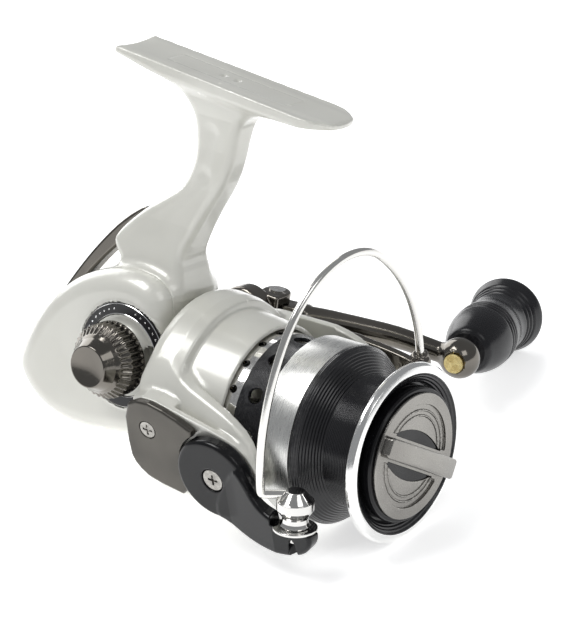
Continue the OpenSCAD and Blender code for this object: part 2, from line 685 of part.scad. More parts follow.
module bail_holder() {
  color("#8f8c86") arm_frame() {
    difference() {
      union() {
        translate([pivot_x, arm_face + 0.2, 0]) rotate([-90, 0, 0]) cylinder(r = 6, h = 4.2);
        across([[-34, -6], [-24, -4.4], [-15.4, -1], [-14.4, 2], [-17, 4], [-28, 5.4]],
               arm_face + 2.4, arm_face + 4.4);
        translate([-20.4, arm_face + 2.6, -1.4]) cube([5.6, 5.4, 4]);
        translate([-17.4, bail_half, 0.6]) cylinder(r = 1.9, h = 2.6);
      }
      translate([-17.44, bail_half, 1.5]) cylinder(r = wire_r + 0.12, h = 4);
      translate([pivot_x, 20, 0]) rotate([-90, 0, 0]) cylinder(r = 1.4 + fit, h = 12);
      translate([pivot_x, 27.8, 0]) rotate([-90, 0, 0]) cylinder(r = 3, h = 3);
    }
  }
}

// ---- Oscillation, shaft and spool ----
module oscillation_gear() {
  color("#c9c4b0") translate([osc_x, -7.3, osc_z]) rotate([-90, 0, 0]) {
    cylinder(r = large_root, h = 2);
    for (i = [0:large_teeth - 1]) rotate([0, 0, i * 360 / large_teeth + mesh_angle + 180])
      translate([large_root - 0.2, -0.38, 0]) cube([1.3, 0.76, 2]);
    rotate([0, 0, -acos(slot_x / pin_circle)]) translate([pin_circle, 0, 1.9])
      cylinder(r = 1.2, h = 1.6);
    translate([0, 0, -3.5]) cylinder(r = 1.6, h = 3.6);
  }
}
module main_shaft() {
  color("#c4c3bf") {
    on_spool(-88.6) cylinder(r = shaft_r, h = 85.6);
    on_spool(-3.2) cylinder(r = 1.5, h = 5);
  }
}
module shaft_slider() {
  slot_mid = osc_x + slot_x;
  color("#b49a5a") difference() {
    translate([slot_mid - 2.2, -3.6, -8]) cube([4.4, 6.6, 20.6]);
    on_spool(-93) cylinder(r = shaft_r + 0.01, h = 15);
    translate([-92, -2.6, rail_z]) rotate([0, 90, 0]) cylinder(r = 0.8, h = 14);
    translate([slot_mid - 1.3, -3.7, osc_z - pin_circle - 1.3])
      cube([2.6, 1, 2 * pin_circle + 2.6]);
  }
}
module spool_seat() {
  color("#c9c4b0") on_spool(-24) difference() {
    union() {
      cylinder(r = 4.6, h = 1.6);
      cylinder(r = 2.6, h = 15.2);
    }
    translate([0, 0, -1]) cylinder(r = shaft_r + 0.01, h = 18);
  }
}
module drag_discs() {
  color("#b9b9b6") for (x = [-6.6, -4.4]) on_spool(x) tube(10.4, shaft_r + 0.01, 0.8);
}
module spool_body() {
  color("#141416") difference() {
      revolve([[2.66, -19], [5, -19], [5, -10.4], [13.6, -10.4], [13.6, -19], [18.6, -19],
        [18.6, -35.2], [skirt_r, -35.2], [skirt_r, -26.6], [20.6, -26.4], [20.6, -17.42],
        [21.4, -17.2], [21.4, -16.3], [20.6, -15.2], [17, -12.6], [drum_r, -11.6],
        [drum_r, -3.6], [17, -2.6], [20.2, -1.1], [20.2, 0], [19.2, 1.1], [16.7, -0.6],
        [16.6, -1.6], [11.3, -1.6], [11.3, -8.4], [2.66, -8.4]]);
    // lightening holes through the skirt
    for (i = [0:11]) rotate([i * 30, 0, 0]) translate([-31, 0, 15]) cylinder(r = 2, h = 10);
  }
}
module skirt_band() {
  color("#cfcfcc") revolve([[20.62, -26.4], [21.4, -26.4], [21.4, -17.45], [20.62, -17.45]]);
}
module skirt_ring() {
  color("#c9c8c4") difference() {
    revolve([[18.62, -40], [skirt_r, -40], [skirt_r, -35.22], [18.62, -35.22]]);
    for (i = [0:17]) rotate([i * 20, 0, 0]) translate([-37.4, 0, 15]) cylinder(r = 1, h = 10);
  }
}
module lip_ring() {
  color("#e6e6e4") revolve([[20.22, -1.1], [21, -1.3], [lip_r, -0.7], [lip_r, 0], [21, 0.9],
    [19.9, 1.35], [19.22, 1.14], [20.22, 0.02]]);
}
module line_clip() {
  color("#b9b9b6") rotate([-62, 0, 0]) translate([-24.4, -1.6, 21.42]) {
    cube([4, 3.2, 0.5]);
  }
}
module drag_felts() {
  color("#3a3835") for (x = [-8.36, -5.6, -3.4]) on_spool(x) tube(10.5, 2.8, 0.9);
}
module drag_retainer() {
  color("#b9b9b6") on_spool(-2.3) rotate_extrude() translate([10.9, 0]) circle(r = 0.35, $fn = 16);
}
module drag_knob_body() {
  color("#17171a") difference() {
    revolve([[1.6, 2.2], [16, 2.2], [knob_body_r, 1.7], [knob_body_r, 0.3], [16, -1.2],
      [11.8, -1.2], [11.8, 0.8], [1.6, 0.8]]);
    on_spool(0.7) cylinder(r = 3.4, h = 1.2, $fn = 6);
  }
}
module drag_knob_face() {
  color("#9b9a95") difference() {
    union() {
      on_spool(2.22) cylinder(r = knob_face_r, h = 0.8);
      rotate([bar_turn, 0, 0]) across([[3, 0], [3, 2.6], [7.2, 2], [7.2, -2], [3, -2.6]],
                                      -14.6, 14.6);
    }
    on_spool(2) cylinder(r = 1.9, h = 2.4);
    for (s = [0, 180]) rotate([s + bar_turn, 0, 0]) difference() {
      on_spool(2.6) cylinder(r = 10.2, h = 2);
      translate([0, -20, -20]) cube([10, 40, 23.4]);
    }
  }
}
module drag_knob_nut() {
  color("#b49a5a") on_spool(0.72) difference() {
    cylinder(r = 3.38, h = 1.1, $fn = 6);
    translate([0, 0, -1]) cylinder(r = 1.5 + fit, h = 4);
  }
}
module drag_knob_spring() {
  color("#b9b9b6") for (i = [0:2]) on_spool(-2.1 + i * 1.0) rotate_extrude()
    translate([6, 0]) circle(r = 0.4, $fn = 16);
}

// ---- Assembly ----
seat() body_frame();
seat() side_cover();
seat() rear_guard();
seat() badge_ring();
seat() cover_screws();
seat() stem_screw();
seat() gear_bearings();
seat() pinion_bearing();
seat() pinion_bushing();
seat() anti_reverse_clutch();
seat() slider_rail();
seat() handle_shaft();
seat() drive_gear();
seat() handle_cap();
seat() hinge_fork();
seat() hinge_pin();
seat() handle_arm();
seat() knob_spindle();
seat() handle_knob();
seat() knob_end_cap();
seat() pinion_gear();
seat() clutch_sleeve();
seat() rotor();
seat() rotor_nut();
seat() arm_cover_near();
seat() arm_cover_far();
seat() arm_cover_screws();
seat() pivot_screws();
seat() bail_spring();
seat() bail_lever();
seat() bail_wire();
seat() wire_boss();
seat() bail_holder();
seat() roller_pin();
seat() line_roller();
seat() oscillation_gear();
seat() main_shaft();
seat() shaft_slider();
seat() spool_seat();
seat() drag_discs();
seat() spool_body();
seat() skirt_band();
seat() skirt_ring();
seat() lip_ring();
seat() line_clip();
seat() drag_felts();
seat() drag_retainer();
seat() drag_knob_body();
seat() drag_knob_face();
seat() drag_knob_nut();
seat() drag_knob_spring();
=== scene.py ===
"""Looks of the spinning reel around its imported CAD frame.

Lengths in the helpers are millimetres; place() turns them into metres in the row frame.
"""
import json
import math

import bpy
import numpy as np
from mathutils import Matrix, Vector


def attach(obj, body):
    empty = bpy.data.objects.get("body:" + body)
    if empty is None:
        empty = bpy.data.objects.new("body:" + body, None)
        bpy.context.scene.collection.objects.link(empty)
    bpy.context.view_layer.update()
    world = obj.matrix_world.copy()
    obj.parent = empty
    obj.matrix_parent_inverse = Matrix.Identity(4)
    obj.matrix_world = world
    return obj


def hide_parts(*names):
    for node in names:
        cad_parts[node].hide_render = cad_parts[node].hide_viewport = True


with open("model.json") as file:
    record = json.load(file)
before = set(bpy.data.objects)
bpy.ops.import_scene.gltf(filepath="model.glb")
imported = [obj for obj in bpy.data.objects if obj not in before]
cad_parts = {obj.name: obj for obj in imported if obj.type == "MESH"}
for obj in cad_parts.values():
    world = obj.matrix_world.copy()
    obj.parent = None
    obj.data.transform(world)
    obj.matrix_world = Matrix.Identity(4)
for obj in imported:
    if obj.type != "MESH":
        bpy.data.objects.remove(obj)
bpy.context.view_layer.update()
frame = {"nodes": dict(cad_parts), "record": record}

MM = 0.001
# Spool lip centre in the row frame, millimetres: shapes are designed around the spool axis
SPOOL = np.array([54.4, 0.0, -76.9])
# Turn of the rotor about the spool axis at rest, the bail's pivot, and a cover screw on each arm
ARM_TURN = 19.0
PIVOT_X = -34.0
COVER_SCREW = (-53.3, 7.2)
# Crank axis, its turn at rest, the arm's hinge and the arm's angle and length from it
GEAR = np.array([-72.5, 0.0, 8.3])
CRANK_TURN = 3.6
HINGE = np.array([4.2, 39.5, 0.0])
ARM_RAKE = 17.0
CRANK_RADIUS = 50.0
ARM_REACH = (CRANK_RADIUS - HINGE[0]) / math.cos(math.radians(ARM_RAKE))


# ---------------------------------------------------------------- frames
def rot(axis, degrees):
    return np.array(Matrix.Rotation(math.radians(degrees), 4, axis))


def move(x, y, z):
    return np.array(Matrix.Translation((x, y, z)))


REEL = np.eye(4)
ARMS = rot("X", ARM_TURN)
CRANK = move(*GEAR) @ rot("Y", CRANK_TURN)
HANDLE = CRANK @ move(*HINGE) @ rot("Z", ARM_RAKE)
KNOB = HANDLE @ move(ARM_REACH, 0, 0) @ rot("X", -90)
ALONG_X = rot("Y", 90)
CAP = move(GEAR[0], 0, GEAR[2]) @ rot("X", 90)
ROLLER = ARMS @ move(-10.6, -29.6, -7) @ rot("X", -14)


def place(points, matrix=REEL):
    """Points in millimetres in a local frame, as metres in the row frame."""
    p = np.asarray(points, float)
    return ((p @ matrix[:3, :3].T + matrix[:3, 3]) + SPOOL) * MM


# ---------------------------------------------------------------- materials
def shader(name, color, metallic=0.0, roughness=0.4, coat=0.0, coat_rough=0.05, spec=0.5,
           sheen=0.0):
    m = bpy.data.materials.new(name)
    m.use_nodes = True
    b = m.node_tree.nodes["Principled BSDF"]
    b.inputs["Base Color"].default_value = (*color, 1)
    b.inputs["Metallic"].default_value = metallic
    b.inputs["Roughness"].default_value = roughness
    b.inputs["Coat Weight"].default_value = coat
    b.inputs["Coat Roughness"].default_value = coat_rough
    b.inputs["Specular IOR Level"].default_value = spec
    b.inputs["Sheen Weight"].default_value = sheen
    return m, b


def node(m, kind, **values):
    n = m.node_tree.nodes.new(kind)
    for key, value in values.items():
        if key in n.inputs:
            n.inputs[key].default_value = value
        else:
            setattr(n, key, value)
    return n


def link(m, a, b):
    m.node_tree.links.new(a, b)


def coords(m, scale=1000.0, stretch=(1, 1, 1)):
    """Object coordinates in millimetres, stretched."""
    tex = node(m, "ShaderNodeTexCoord")
    mapping = node(m, "ShaderNodeMapping")
    mapping.inputs["Scale"].default_value = [scale * s for s in stretch]
    link(m, tex.outputs["Object"], mapping.inputs["Vector"])
    return mapping.outputs["Vector"]


def noise(m, vector, scale, detail=3.0, rough=0.5):
    n = node(m, "ShaderNodeTexNoise", Scale=scale, Detail=detail, Roughness=rough)
    link(m, vector, n.inputs["Vector"])
    return n.outputs["Fac"]


def remap(m, value, low, high, start=0.35, end=0.65):
    n = node(m, "ShaderNodeMapRange")
    n.inputs["From Min"].default_value = start
    n.inputs["From Max"].default_value = end
    n.inputs["To Min"].default_value = low
    n.inputs["To Max"].default_value = high
    link(m, value, n.inputs["Value"])
    return n.outputs["Result"]


def tint(m, value, a, b):
    n = node(m, "ShaderNodeMix", data_type="RGBA")
    n.inputs["A"].default_value = (*a, 1)
    n.inputs["B"].default_value = (*b, 1)
    link(m, value, n.inputs["Factor"])
    return n.outputs["Result"]


def bump(m, b, height, strength, distance, before=None):
    n = node(m, "ShaderNodeBump", Strength=strength, Distance=distance * MM)
    link(m, height, n.inputs["Height"])
    if before is not None:
        link(m, before.outputs["Normal"], n.inputs["Normal"])
    link(m, n.outputs["Normal"], b.inputs["Normal"])
    return n


def edges(m, v, start, end):
    """Patchy mask, one along convex edges and nought elsewhere; it places the painted edge
    highlight.
    """
    geometry = node(m, "ShaderNodeNewGeometry")
    sharp = remap(m, geometry.outputs["Pointiness"], 0, 1, start, end)
    product = node(m, "ShaderNodeMath", operation="MULTIPLY")
    link(m, sharp, product.inputs[0])
    link(m, remap(m, noise(m, v, 0.9, 3, 0.6), 0.15, 1, 0.42, 0.6), product.inputs[1])
    return product.outputs["Value"]


def blend(m, value, base, color):
    n = node(m, "ShaderNodeMix", data_type="RGBA")
    link(m, base, n.inputs["A"])
    n.inputs["B"].default_value = (*color, 1)
    link(m, value, n.inputs["Factor"])
    return n.outputs["Result"]


def paint(name, color, second, **settings):
    """A finish with slow colour drift, fine roughness variation, a faint surface ripple and a
    painted highlight: a lighter tone along convex edges, in patches."""
    # Painted highlight: a lighter tone of the finish, laid along convex edges
    edge_highlight = [min(c * 1.25 + 0.02, 0.95) for c in second]
    grain = settings.pop("grain", 6.0)
    ripple = settings.pop("ripple", 0.03)
    spread = settings.pop("spread", 0.05)
    stretch = settings.pop("stretch", (1, 1, 1))
    rough = settings.get("roughness", 0.4)
    m, b = shader(name, color, **settings)
    v = coords(m, stretch=stretch)
    drift = tint(m, remap(m, noise(m, v, 0.06, 2), 0, 1), color, second)
    # Blend the painted edge highlight over the drifting colour
    link(m, blend(m, edges(m, v, 0.515, 0.60), drift, edge_highlight), b.inputs["Base Color"])
    fine = noise(m, v, grain, 4, 0.6)
    link(m, remap(m, fine, max(rough - spread, 0.02), rough + spread), b.inputs["Roughness"])
    bump(m, b, fine, 0.25, ripple)
    return m


M = {}


def make_materials():
    M["pearl"] = paint("pearl_lacquer", (0.66, 0.655, 0.60), (0.71, 0.705, 0.65), roughness=0.34,
                       coat=0.7, coat_rough=0.08, grain=9, ripple=0.006, spread=0.06,
                       metallic=0.12)
    M["smoked"] = paint("smoked_chrome", (0.15, 0.14, 0.125), (0.20, 0.185, 0.165), metallic=1.0,
                        roughness=0.13, grain=3, ripple=0.006, spread=0.05)
    M["gunmetal"] = paint("gunmetal_satin", (0.085, 0.08, 0.072), (0.12, 0.113, 0.10),
                          metallic=0.85, roughness=0.34, grain=5, ripple=0.01, spread=0.06)
    M["gloss_black"] = paint("gloss_black", (0.004, 0.004, 0.005), (0.007, 0.007, 0.008),
                             roughness=0.2, spec=0.3, grain=2, ripple=0.008, spread=0.05)
    M["anodised"] = paint("anodised_black", (0.010, 0.010, 0.012), (0.016, 0.016, 0.018),
                          roughness=0.17, spec=0.45, grain=2, ripple=0.004,
                          spread=0.05)
    M["silver"] = paint("brushed_silver", (0.68, 0.68, 0.66), (0.74, 0.74, 0.72), metallic=1.0,
                        roughness=0.3, grain=1.2, ripple=0.01, spread=0.07,
                        stretch=(6, 0.25, 0.25))
    M["polished"] = paint("polished_silver", (0.86, 0.86, 0.85), (0.9, 0.9, 0.89), metallic=1.0,
                          roughness=0.16, grain=2, ripple=0.004, spread=0.05)
    M["chrome"] = paint("chrome", (0.66, 0.65, 0.63), (0.72, 0.71, 0.69), metallic=1.0,
                        roughness=0.1, grain=3, ripple=0.004, spread=0.04)
    M["nickel"] = paint("satin_nickel", (0.25, 0.24, 0.225), (0.31, 0.30, 0.28), metallic=1.0,
                        roughness=0.27, grain=4, ripple=0.008, spread=0.07)
    M["steel"] = paint("ground_steel", (0.56, 0.56, 0.56), (0.62, 0.62, 0.61), metallic=1.0,
                       roughness=0.28, grain=4, ripple=0.01, spread=0.08)
    M["wire"] = paint("stainless_wire", (0.74, 0.73, 0.70), (0.8, 0.79, 0.76), metallic=1.0,
                      roughness=0.17, grain=3, ripple=0.006, spread=0.06)
    M["brass"] = paint("brass", (0.70, 0.53, 0.22), (0.78, 0.62, 0.30), metallic=1.0,
                       roughness=0.26, grain=5, ripple=0.01, spread=0.08)
    M["zinc"] = paint("die_cast", (0.42, 0.41, 0.39), (0.50, 0.49, 0.46), metallic=1.0,
                      roughness=0.42, grain=5, ripple=0.02, spread=0.08)
    M["rubber"] = paint("black_rubber", (0.010, 0.010, 0.012), (0.016, 0.016, 0.018),
                        roughness=0.24, spec=0.32, grain=7, ripple=0.02,
                        spread=0.07)
    M["badge"] = paint("badge_black", (0.012, 0.012, 0.014), (0.018, 0.018, 0.02),
                       roughness=0.35, grain=6, ripple=0.004, spread=0.05)
    M["felt"] = paint("oiled_felt", (0.05, 0.045, 0.04), (0.075, 0.07, 0.06), roughness=0.9,
                      sheen=0.4, grain=8, ripple=0.08, spread=0.05)


def turn_rings(m):
    """Fine lathe rings, 0.45 mm apart along the spool axis."""
    b = m.node_tree.nodes["Principled BSDF"]
    wave = node(m, "ShaderNodeTexWave", wave_type="BANDS", bands_direction="X")
    wave.inputs["Scale"].default_value = 0.7
    link(m, coords(m), wave.inputs["Vector"])
    first = next(n for n in m.node_tree.nodes if n.type == "BUMP")
    bump(m, b, wave.outputs["Fac"], 0.8, 0.1, before=first)


SLOT_LOOK = {"pearl_white": "pearl", "smoked_chrome": "smoked", "gunmetal": "gunmetal",
             "gloss_black": "gloss_black", "anodised_black": "anodised",
             "brushed_silver": "silver", "polished_silver": "polished", "chrome": "chrome",
             "satin_nickel": "nickel", "steel": "steel", "wire_steel": "wire", "brass": "brass",
             "zinc": "zinc", "black_rubber": "rubber", "badge_black": "badge", "felt": "felt"}


def dress_cad():
    """Give every CAD node the full material of its slot."""
    looks = {s["node"]: SLOT_LOOK[s["material_slot"]] for s in frame["record"]["subparts"]}
    for name, obj in frame["nodes"].items():
        obj.data.materials.clear()
        obj.data.materials.append(M[looks[name]])


# ---------------------------------------------------------------- shape kit, millimetres
def poly2(u, v, points):
    """Signed distance to a flat outline, negative inside."""
    best, sign = None, None
    n = len(points)
    for i in range(n):
        (ax, ay), (bx, by) = points[i], points[(i - 1) % n]
        ex, ey = bx - ax, by - ay
        wx, wy = u - ax, v - ay
        t = np.clip((wx * ex + wy * ey) / (ex * ex + ey * ey), 0, 1)
        dist = (wx - ex * t) ** 2 + (wy - ey * t) ** 2
        c1, c2, c3 = v >= ay, v < by, ex * wy > ey * wx
        flip = (c1 & c2 & c3) | (~c1 & ~c2 & ~c3)
        best = dist if best is None else np.minimum(best, dist)
        sign = ~flip if sign is None else sign ^ flip
    return np.where(sign, 1, -1) * np.sqrt(best)


def meet(a, b, r=0.0):
    """Intersection with a rounded edge of radius r."""
    if r == 0:
        return np.maximum(a, b)
    return np.minimum(-r, np.maximum(a, b)) + np.sqrt(
        np.maximum(a + r, 0) ** 2 + np.maximum(b + r, 0) ** 2)


def join(a, b, r=0.0):
    """Union with a fillet of radius r."""
    return -meet(-a, -b, r)


def cut(a, b, r=0.0):
    return meet(a, -b, r)


def disc(u, v, w, r, w0, w1, edge=0.0):
    """Cylinder about the w axis from w0 to w1."""
    return meet(np.sqrt(u * u + v * v) - r, np.abs(w - (w0 + w1) / 2) - (w1 - w0) / 2, edge)


def block(x, y, z, low, high, edge=0.0):
    d = [np.abs(q - (a + b) / 2) - (b - a) / 2 for q, a, b in zip((x, y, z), low, high)]
    return meet(meet(d[0], d[1], edge), d[2], edge)


def capsule(x, y, z, a, b, ra, rb):
    """Rod from a to b, its radius running from ra to rb."""
    a, b = np.array(a, float), np.array(b, float)
    d = b - a
    t = np.clip(((x - a[0]) * d[0] + (y - a[1]) * d[1] + (z - a[2]) * d[2]) / (d @ d), 0, 1)
    return np.sqrt((x - a[0] - d[0] * t) ** 2 + (y - a[1] - d[1] * t) ** 2
                   + (z - a[2] - d[2] * t) ** 2) - (ra + (rb - ra) * t)


def turned(x, y, z, matrix):
    """Coordinates in the frame of matrix."""
    m = np.linalg.inv(matrix)
    return tuple(m[i, 0] * x + m[i, 1] * y + m[i, 2] * z + m[i, 3] for i in range(3))


def soften(points, rounds=2):
    """Corner cutting that turns a coarse outline into a smooth one."""
    p = np.array(points, float)
    for _ in range(rounds):
        q = np.roll(p, -1, axis=0)
        p = np.stack([0.75 * p + 0.25 * q, 0.25 * p + 0.75 * q], 1).reshape(-1, 2)
    return p


CORNERS = [(i, j, k) for i in (0, 1) for j in (0, 1) for k in (0, 1)]
EDGES = [(a, b) for a in CORNERS for b in CORNERS
         if sum(abs(p - q) for p, q in zip(a, b)) == 1 and a < b]


def gradient(shape, p, h):
    g = np.empty_like(p)
    for i in range(3):
        d = np.zeros(3)
        d[i] = h
        g[:, i] = (shape(*(p + d).T) - shape(*(p - d).T)) / (2 * h)
    return g


def net(shape, low, high, step):
    """Closed surface of a signed distance function: one vertex per crossed cell."""
    axes = [np.arange(a - 1.5 * step, b + 2.5 * step, step) for a, b in zip(low, high)]
    size = tuple(len(a) for a in axes)
    f = np.array(np.broadcast_to(shape(axes[0][:, None, None], axes[1][None, :, None],
                                       axes[2][None, None, :]), size))
    s = f < 0
    count = sum(s[i:size[0] - 1 + i, j:size[1] - 1 + j, k:size[2] - 1 + k].astype(np.int8)
                for i, j, k in CORNERS)
    cells = np.argwhere((count > 0) & (count < 8))
    value = {c: f[tuple((cells + c).T)] for c in CORNERS}
    total, hits = np.zeros((len(cells), 3)), np.zeros(len(cells))
    for a, b in EDGES:
        va, vb = value[a], value[b]
        hit = (va < 0) != (vb < 0)
        t = np.where(hit, va / np.where(hit, va - vb, 1), 0)
        spot = np.array(a) + np.outer(t, np.array(b) - np.array(a))
        total += spot * hit[:, None]
        hits += hit
    base = np.array([a[0] for a in axes])
    p = base + (cells + total / hits[:, None]) * step
    index = np.full(tuple(n - 1 for n in size), -1)
    index[tuple(cells.T)] = np.arange(len(cells))
    faces = []
    for axis in range(3):
        u, v = (axis + 1) % 3, (axis + 2) % 3
        lower = s.take(range(size[axis] - 1), axis)
        upper = s.take(range(1, size[axis]), axis)
        for crossing, order in ((lower & ~upper, 1), (~lower & upper, -1)):
            at = np.argwhere(crossing)
            ring = []
            for du, dv in ((-1, -1), (0, -1), (0, 0), (-1, 0)):
                c = at.copy()
                c[:, u] += du
                c[:, v] += dv
                ring.append(index[tuple(c.T)])
            faces.append(np.stack(ring, 1)[:, ::order])
    for _ in range(2):
        g = gradient(shape, p, 0.02)
        d = shape(*p.T)[:, None]
        p = p - np.clip(d * g / np.maximum((g * g).sum(1, keepdims=True), 0.2), -step / 2,
                        step / 2)
    normals = gradient(shape, p, 0.3 * step)
    return p, np.concatenate(faces), normals


def fillet(points, radius, steps=4):
    """Closed outline with each corner rounded; radius is a number or one per corner."""
    p = np.array(points, float)
    out = []
    for i in range(len(p)):
        r = radius[i] if hasattr(radius, "__len__") else radius
        a, b, c = p[i - 1], p[i], p[(i + 1) % len(p)]
        d1, d2 = (a - b) / np.linalg.norm(a - b), (c - b) / np.linalg.norm(c - b)
        half = math.acos(max(-1, min(1, float(d1 @ d2)))) / 2
        reach = min(r / math.tan(half), 0.45 * np.linalg.norm(a - b),
                    0.45 * np.linalg.norm(c - b)) if half < 1.5 else 0
        if reach < 1e-3:
            out.append(b)
            continue
        for t in np.linspace(0, 1, steps + 1):
            out.append((1 - t) ** 2 * (b + d1 * reach) + 2 * t * (1 - t) * b
                       + t * t * (b + d2 * reach))
    return np.array(out)


def lathe(section, segments=160, wave=None):
    """Closed ring or solid about local Z. section is [radius, z], in order round the outline."""
    s = np.array(section, float)
    angles = np.linspace(0, 2 * math.pi, segments, endpoint=False)
    r = np.repeat(s[:, 0][:, None], segments, 1)
    z = np.repeat(s[:, 1][:, None], segments, 1)
    if wave is not None:
        r = wave(r, z, angles[None, :])
    p = np.stack([r * np.cos(angles), r * np.sin(angles), z], 2)
    n = len(s)
    verts, ids = [], np.zeros((n, segments), int)
    for i in range(n):
        if s[i, 0] < 1e-6:
            ids[i] = len(verts)
            verts.append((0, 0, s[i, 1]))
        else:
            ids[i] = np.arange(len(verts), len(verts) + segments)
            verts.extend(p[i])
    faces = []
    for i in range(n):
        a, b = ids[i], ids[(i + 1) % n]
        pole_a, pole_b = s[i, 0] < 1e-6, s[(i + 1) % n, 0] < 1e-6
        for k in range(segments):
            m = (k + 1) % segments
            if pole_a and pole_b:
                break
            if pole_a:
                faces.append((a[0], b[m], b[k]))
            elif pole_b:
                faces.append((a[k], a[m], b[0]))
            else:
                faces.append((a[k], a[m], b[m], b[k]))
    return np.array(verts), faces


def sweep(path, radius, sides=20):
    """Round rod along a path, with flat end caps."""
    path = np.array(path, float)
    tangent = np.gradient(path, axis=0)
    tangent /= np.linalg.norm(tangent, axis=1, keepdims=True)
    u = np.cross(tangent[0], [0.3, 1, 0.2])
    rings = []
    for c, t in zip(path, tangent):
        u = u - (u @ t) * t
        u /= np.linalg.norm(u)
        w = np.cross(t, u)
        rings.append([c + radius * (math.cos(a) * u + math.sin(a) * w)
                      for a in np.linspace(0, 2 * math.pi, sides, endpoint=False)])
    verts = [v for ring in rings for v in ring] + [path[0], path[-1]]
    n, faces = len(path), []
    for i in range(n - 1):
        for k in range(sides):
            m = (k + 1) % sides
            faces.append((i * sides + k, i * sides + m, (i + 1) * sides + m,
                          (i + 1) * sides + k))
    for k in range(sides):
        m = (k + 1) % sides
        faces.append((n * sides, m, k))
        faces.append((n * sides + 1, (n - 1) * sides + k, (n - 1) * sides + m))
    return np.array(verts), faces


def spline(points, count):
    """Smooth curve through the points."""
    p = np.array(points, float)
    p = np.concatenate([[2 * p[0] - p[1]], p, [2 * p[-1] - p[-2]]])
    out = []
    for t in np.linspace(0, len(p) - 3, count):
        i = min(int(t), len(p) - 4)
        s = t - i
        a, b, c, d = p[i:i + 4]
        out.append(0.5 * (2 * b + (c - a) * s + (2 * a - 5 * b + 4 * c - d) * s * s
                          + (3 * b - a - 3 * c + d) * s ** 3))
    return np.array(out)


# ---------------------------------------------------------------- pieces
RECORD = frame["record"]
BODY_OF = {n: b for b, ns in RECORD["behaviour"]["bodies"].items() for n in ns}
SLOT_OF = {s["node"]: s["material_slot"] for s in RECORD["subparts"]}


def extra(name, shape, matrix, body, look, sharp=35):
    """A mesh in the row frame that rides on a body."""
    verts, faces = shape[0], shape[1]
    mesh = bpy.data.meshes.new(name)
    points = place(verts, matrix)
    mesh.from_pydata([tuple(p) for p in points], [], [tuple(int(i) for i in f) for f in faces])
    mesh.validate()
    mesh.update()
    mesh.shade_smooth()
    if len(shape) > 2:
        n = shape[2] @ matrix[:3, :3].T
        n /= np.maximum(np.linalg.norm(n, axis=1, keepdims=True), 1e-9)
        mesh.normals_split_custom_set_from_vertices([tuple(v) for v in n])
    else:
        mesh.set_sharp_from_angle(angle=math.radians(sharp))
    mesh.materials.append(look)
    obj = bpy.data.objects.new(name, mesh)
    bpy.context.collection.objects.link(obj)
    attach(obj, body)
    return obj


def piece(name, shape, matrix, cad_node, sharp=35):
    """A mesh that stands for a CAD node."""
    slot = SLOT_OF[cad_node]
    obj = extra(name, shape, matrix, BODY_OF[cad_node], M[SLOT_LOOK[slot]], sharp)
    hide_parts(cad_node)
    return obj


HOUSING = soften([
    (-62, -10.5), (-62, 22), (-65, 26.5), (-70, 28.3), (-78, 28), (-86, 25), (-92, 21.3),
    (-97.5, 15.8), (-102, 9), (-105, 2.4), (-106, -2.5), (-103.4, -6.8), (-99.4, -10.4),
    (-94, -13), (-87, -14), (-76, -13), (-68, -11.6)])
STEM = soften([
    (-85, 78.4), (-78, 77.2), (-72, 75), (-67.6, 72), (-65, 68.6), (-63.7, 65), (-63.3, 60),
    (-63.5, 55.5), (-65.8, 49.6), (-71, 45.6), (-78, 40.6), (-84, 34.2), (-84.4, 31.5),
    (-80.6, 27.4), (-80, 20), (-62.5, 20), (-62.6, 27), (-64.4, 32), (-62.2, 37),
    (-58.4, 44.4), (-54.4, 51.4), (-52.4, 58), (-51.6, 64), (-50.4, 68), (-47, 70.6),
    (-41, 72), (-33, 72.8), (-24.6, 73), (-24.6, 73.6), (-54.4, 76.2), (-84.9, 79.2)])
FOOT = move(-54.4, 0, 76.9) @ rot("Y", 5.5)
# Cover screws, the small screws' bore, the slider rail's height and the oscillation gear's axis
SCREWS = [(-69.5, -7.4), (-102, -1.2), (-78.5, 22.6)]
SCREW_HOLE = 1.02
RAIL_Z = -6.2
OSC = (-88.92, 4.21)


def housing(x, y, z):
    return meet(poly2(x, z, HOUSING), np.abs(y + 1) - 13, 5)


def stem(x, y, z):
    half = np.interp(z, [18, 24, 30, 35, 40, 50, 60, 68, 72, 76, 79.4],
                     [7.4, 7.1, 6.5, 5.7, 4.95, 4.3, 4.05, 4.4, 5.2, 6.8, 7.4])
    d = meet(poly2(x, z, STEM), np.abs(y) - half, 2.4)
    for side in (-1, 1):
        flute = capsule(x, y, z, (-58.5, side * 6.9, 64), (-60, side * 7.1, 54), 3.1, 3.1)
        flute = join(flute, capsule(x, y, z, (-60, side * 7.1, 54), (-73, side * 9.2, 38),
                                    3.1, 3.6), 1)
        d = cut(d, flute, 0.8)
    return d


def foot(x, y, z):
    u, v, w = turned(x, y, z, FOOT)
    half, tip = 31.25, 9
    nose = [(half - tip + tip * math.cos(a), 8.15 * math.sin(a))
            for a in np.linspace(-math.pi / 2, math.pi / 2, 17)]
    plan = poly2(u, v, [(-half, 7.45), (-half, -7.45)] + nose)
    rear = np.sqrt((u + half + 25) ** 2 + v * v) - 25.9
    side = poly2(u, w, [(-half, 0), (-half, -1.5), (-17, -3.4), (-8, -5.4), (8, -5.4),
                        (16, -3.2), (half, -1.5), (half, 0)])
    crown = w + 5.2 * np.sqrt(np.maximum(1 - (v / 8.9) ** 2, 0.02)) + 0.2
    d = meet(meet(plan, side, 0.35), -crown, 0.5)
    d = cut(d, rear, 0.35)
    d = cut(d, np.sqrt(v * v + (w - 43.45) ** 2) - 44, 0.18)
    panel = np.abs(block(u, v, 0, (-19, -3.2, -1), (17, 3.2, 1), 0.9)) - 0.36
    d = cut(d, np.maximum(panel, np.abs(w) - 1.25), 0.1)
    for c in (-4.4, -0.4):
        d = cut(d, block(u, v, w, (c - 1, -1.2, -1.3), (c + 1, 1.2, 1), 0.4), 0.15)
    return d


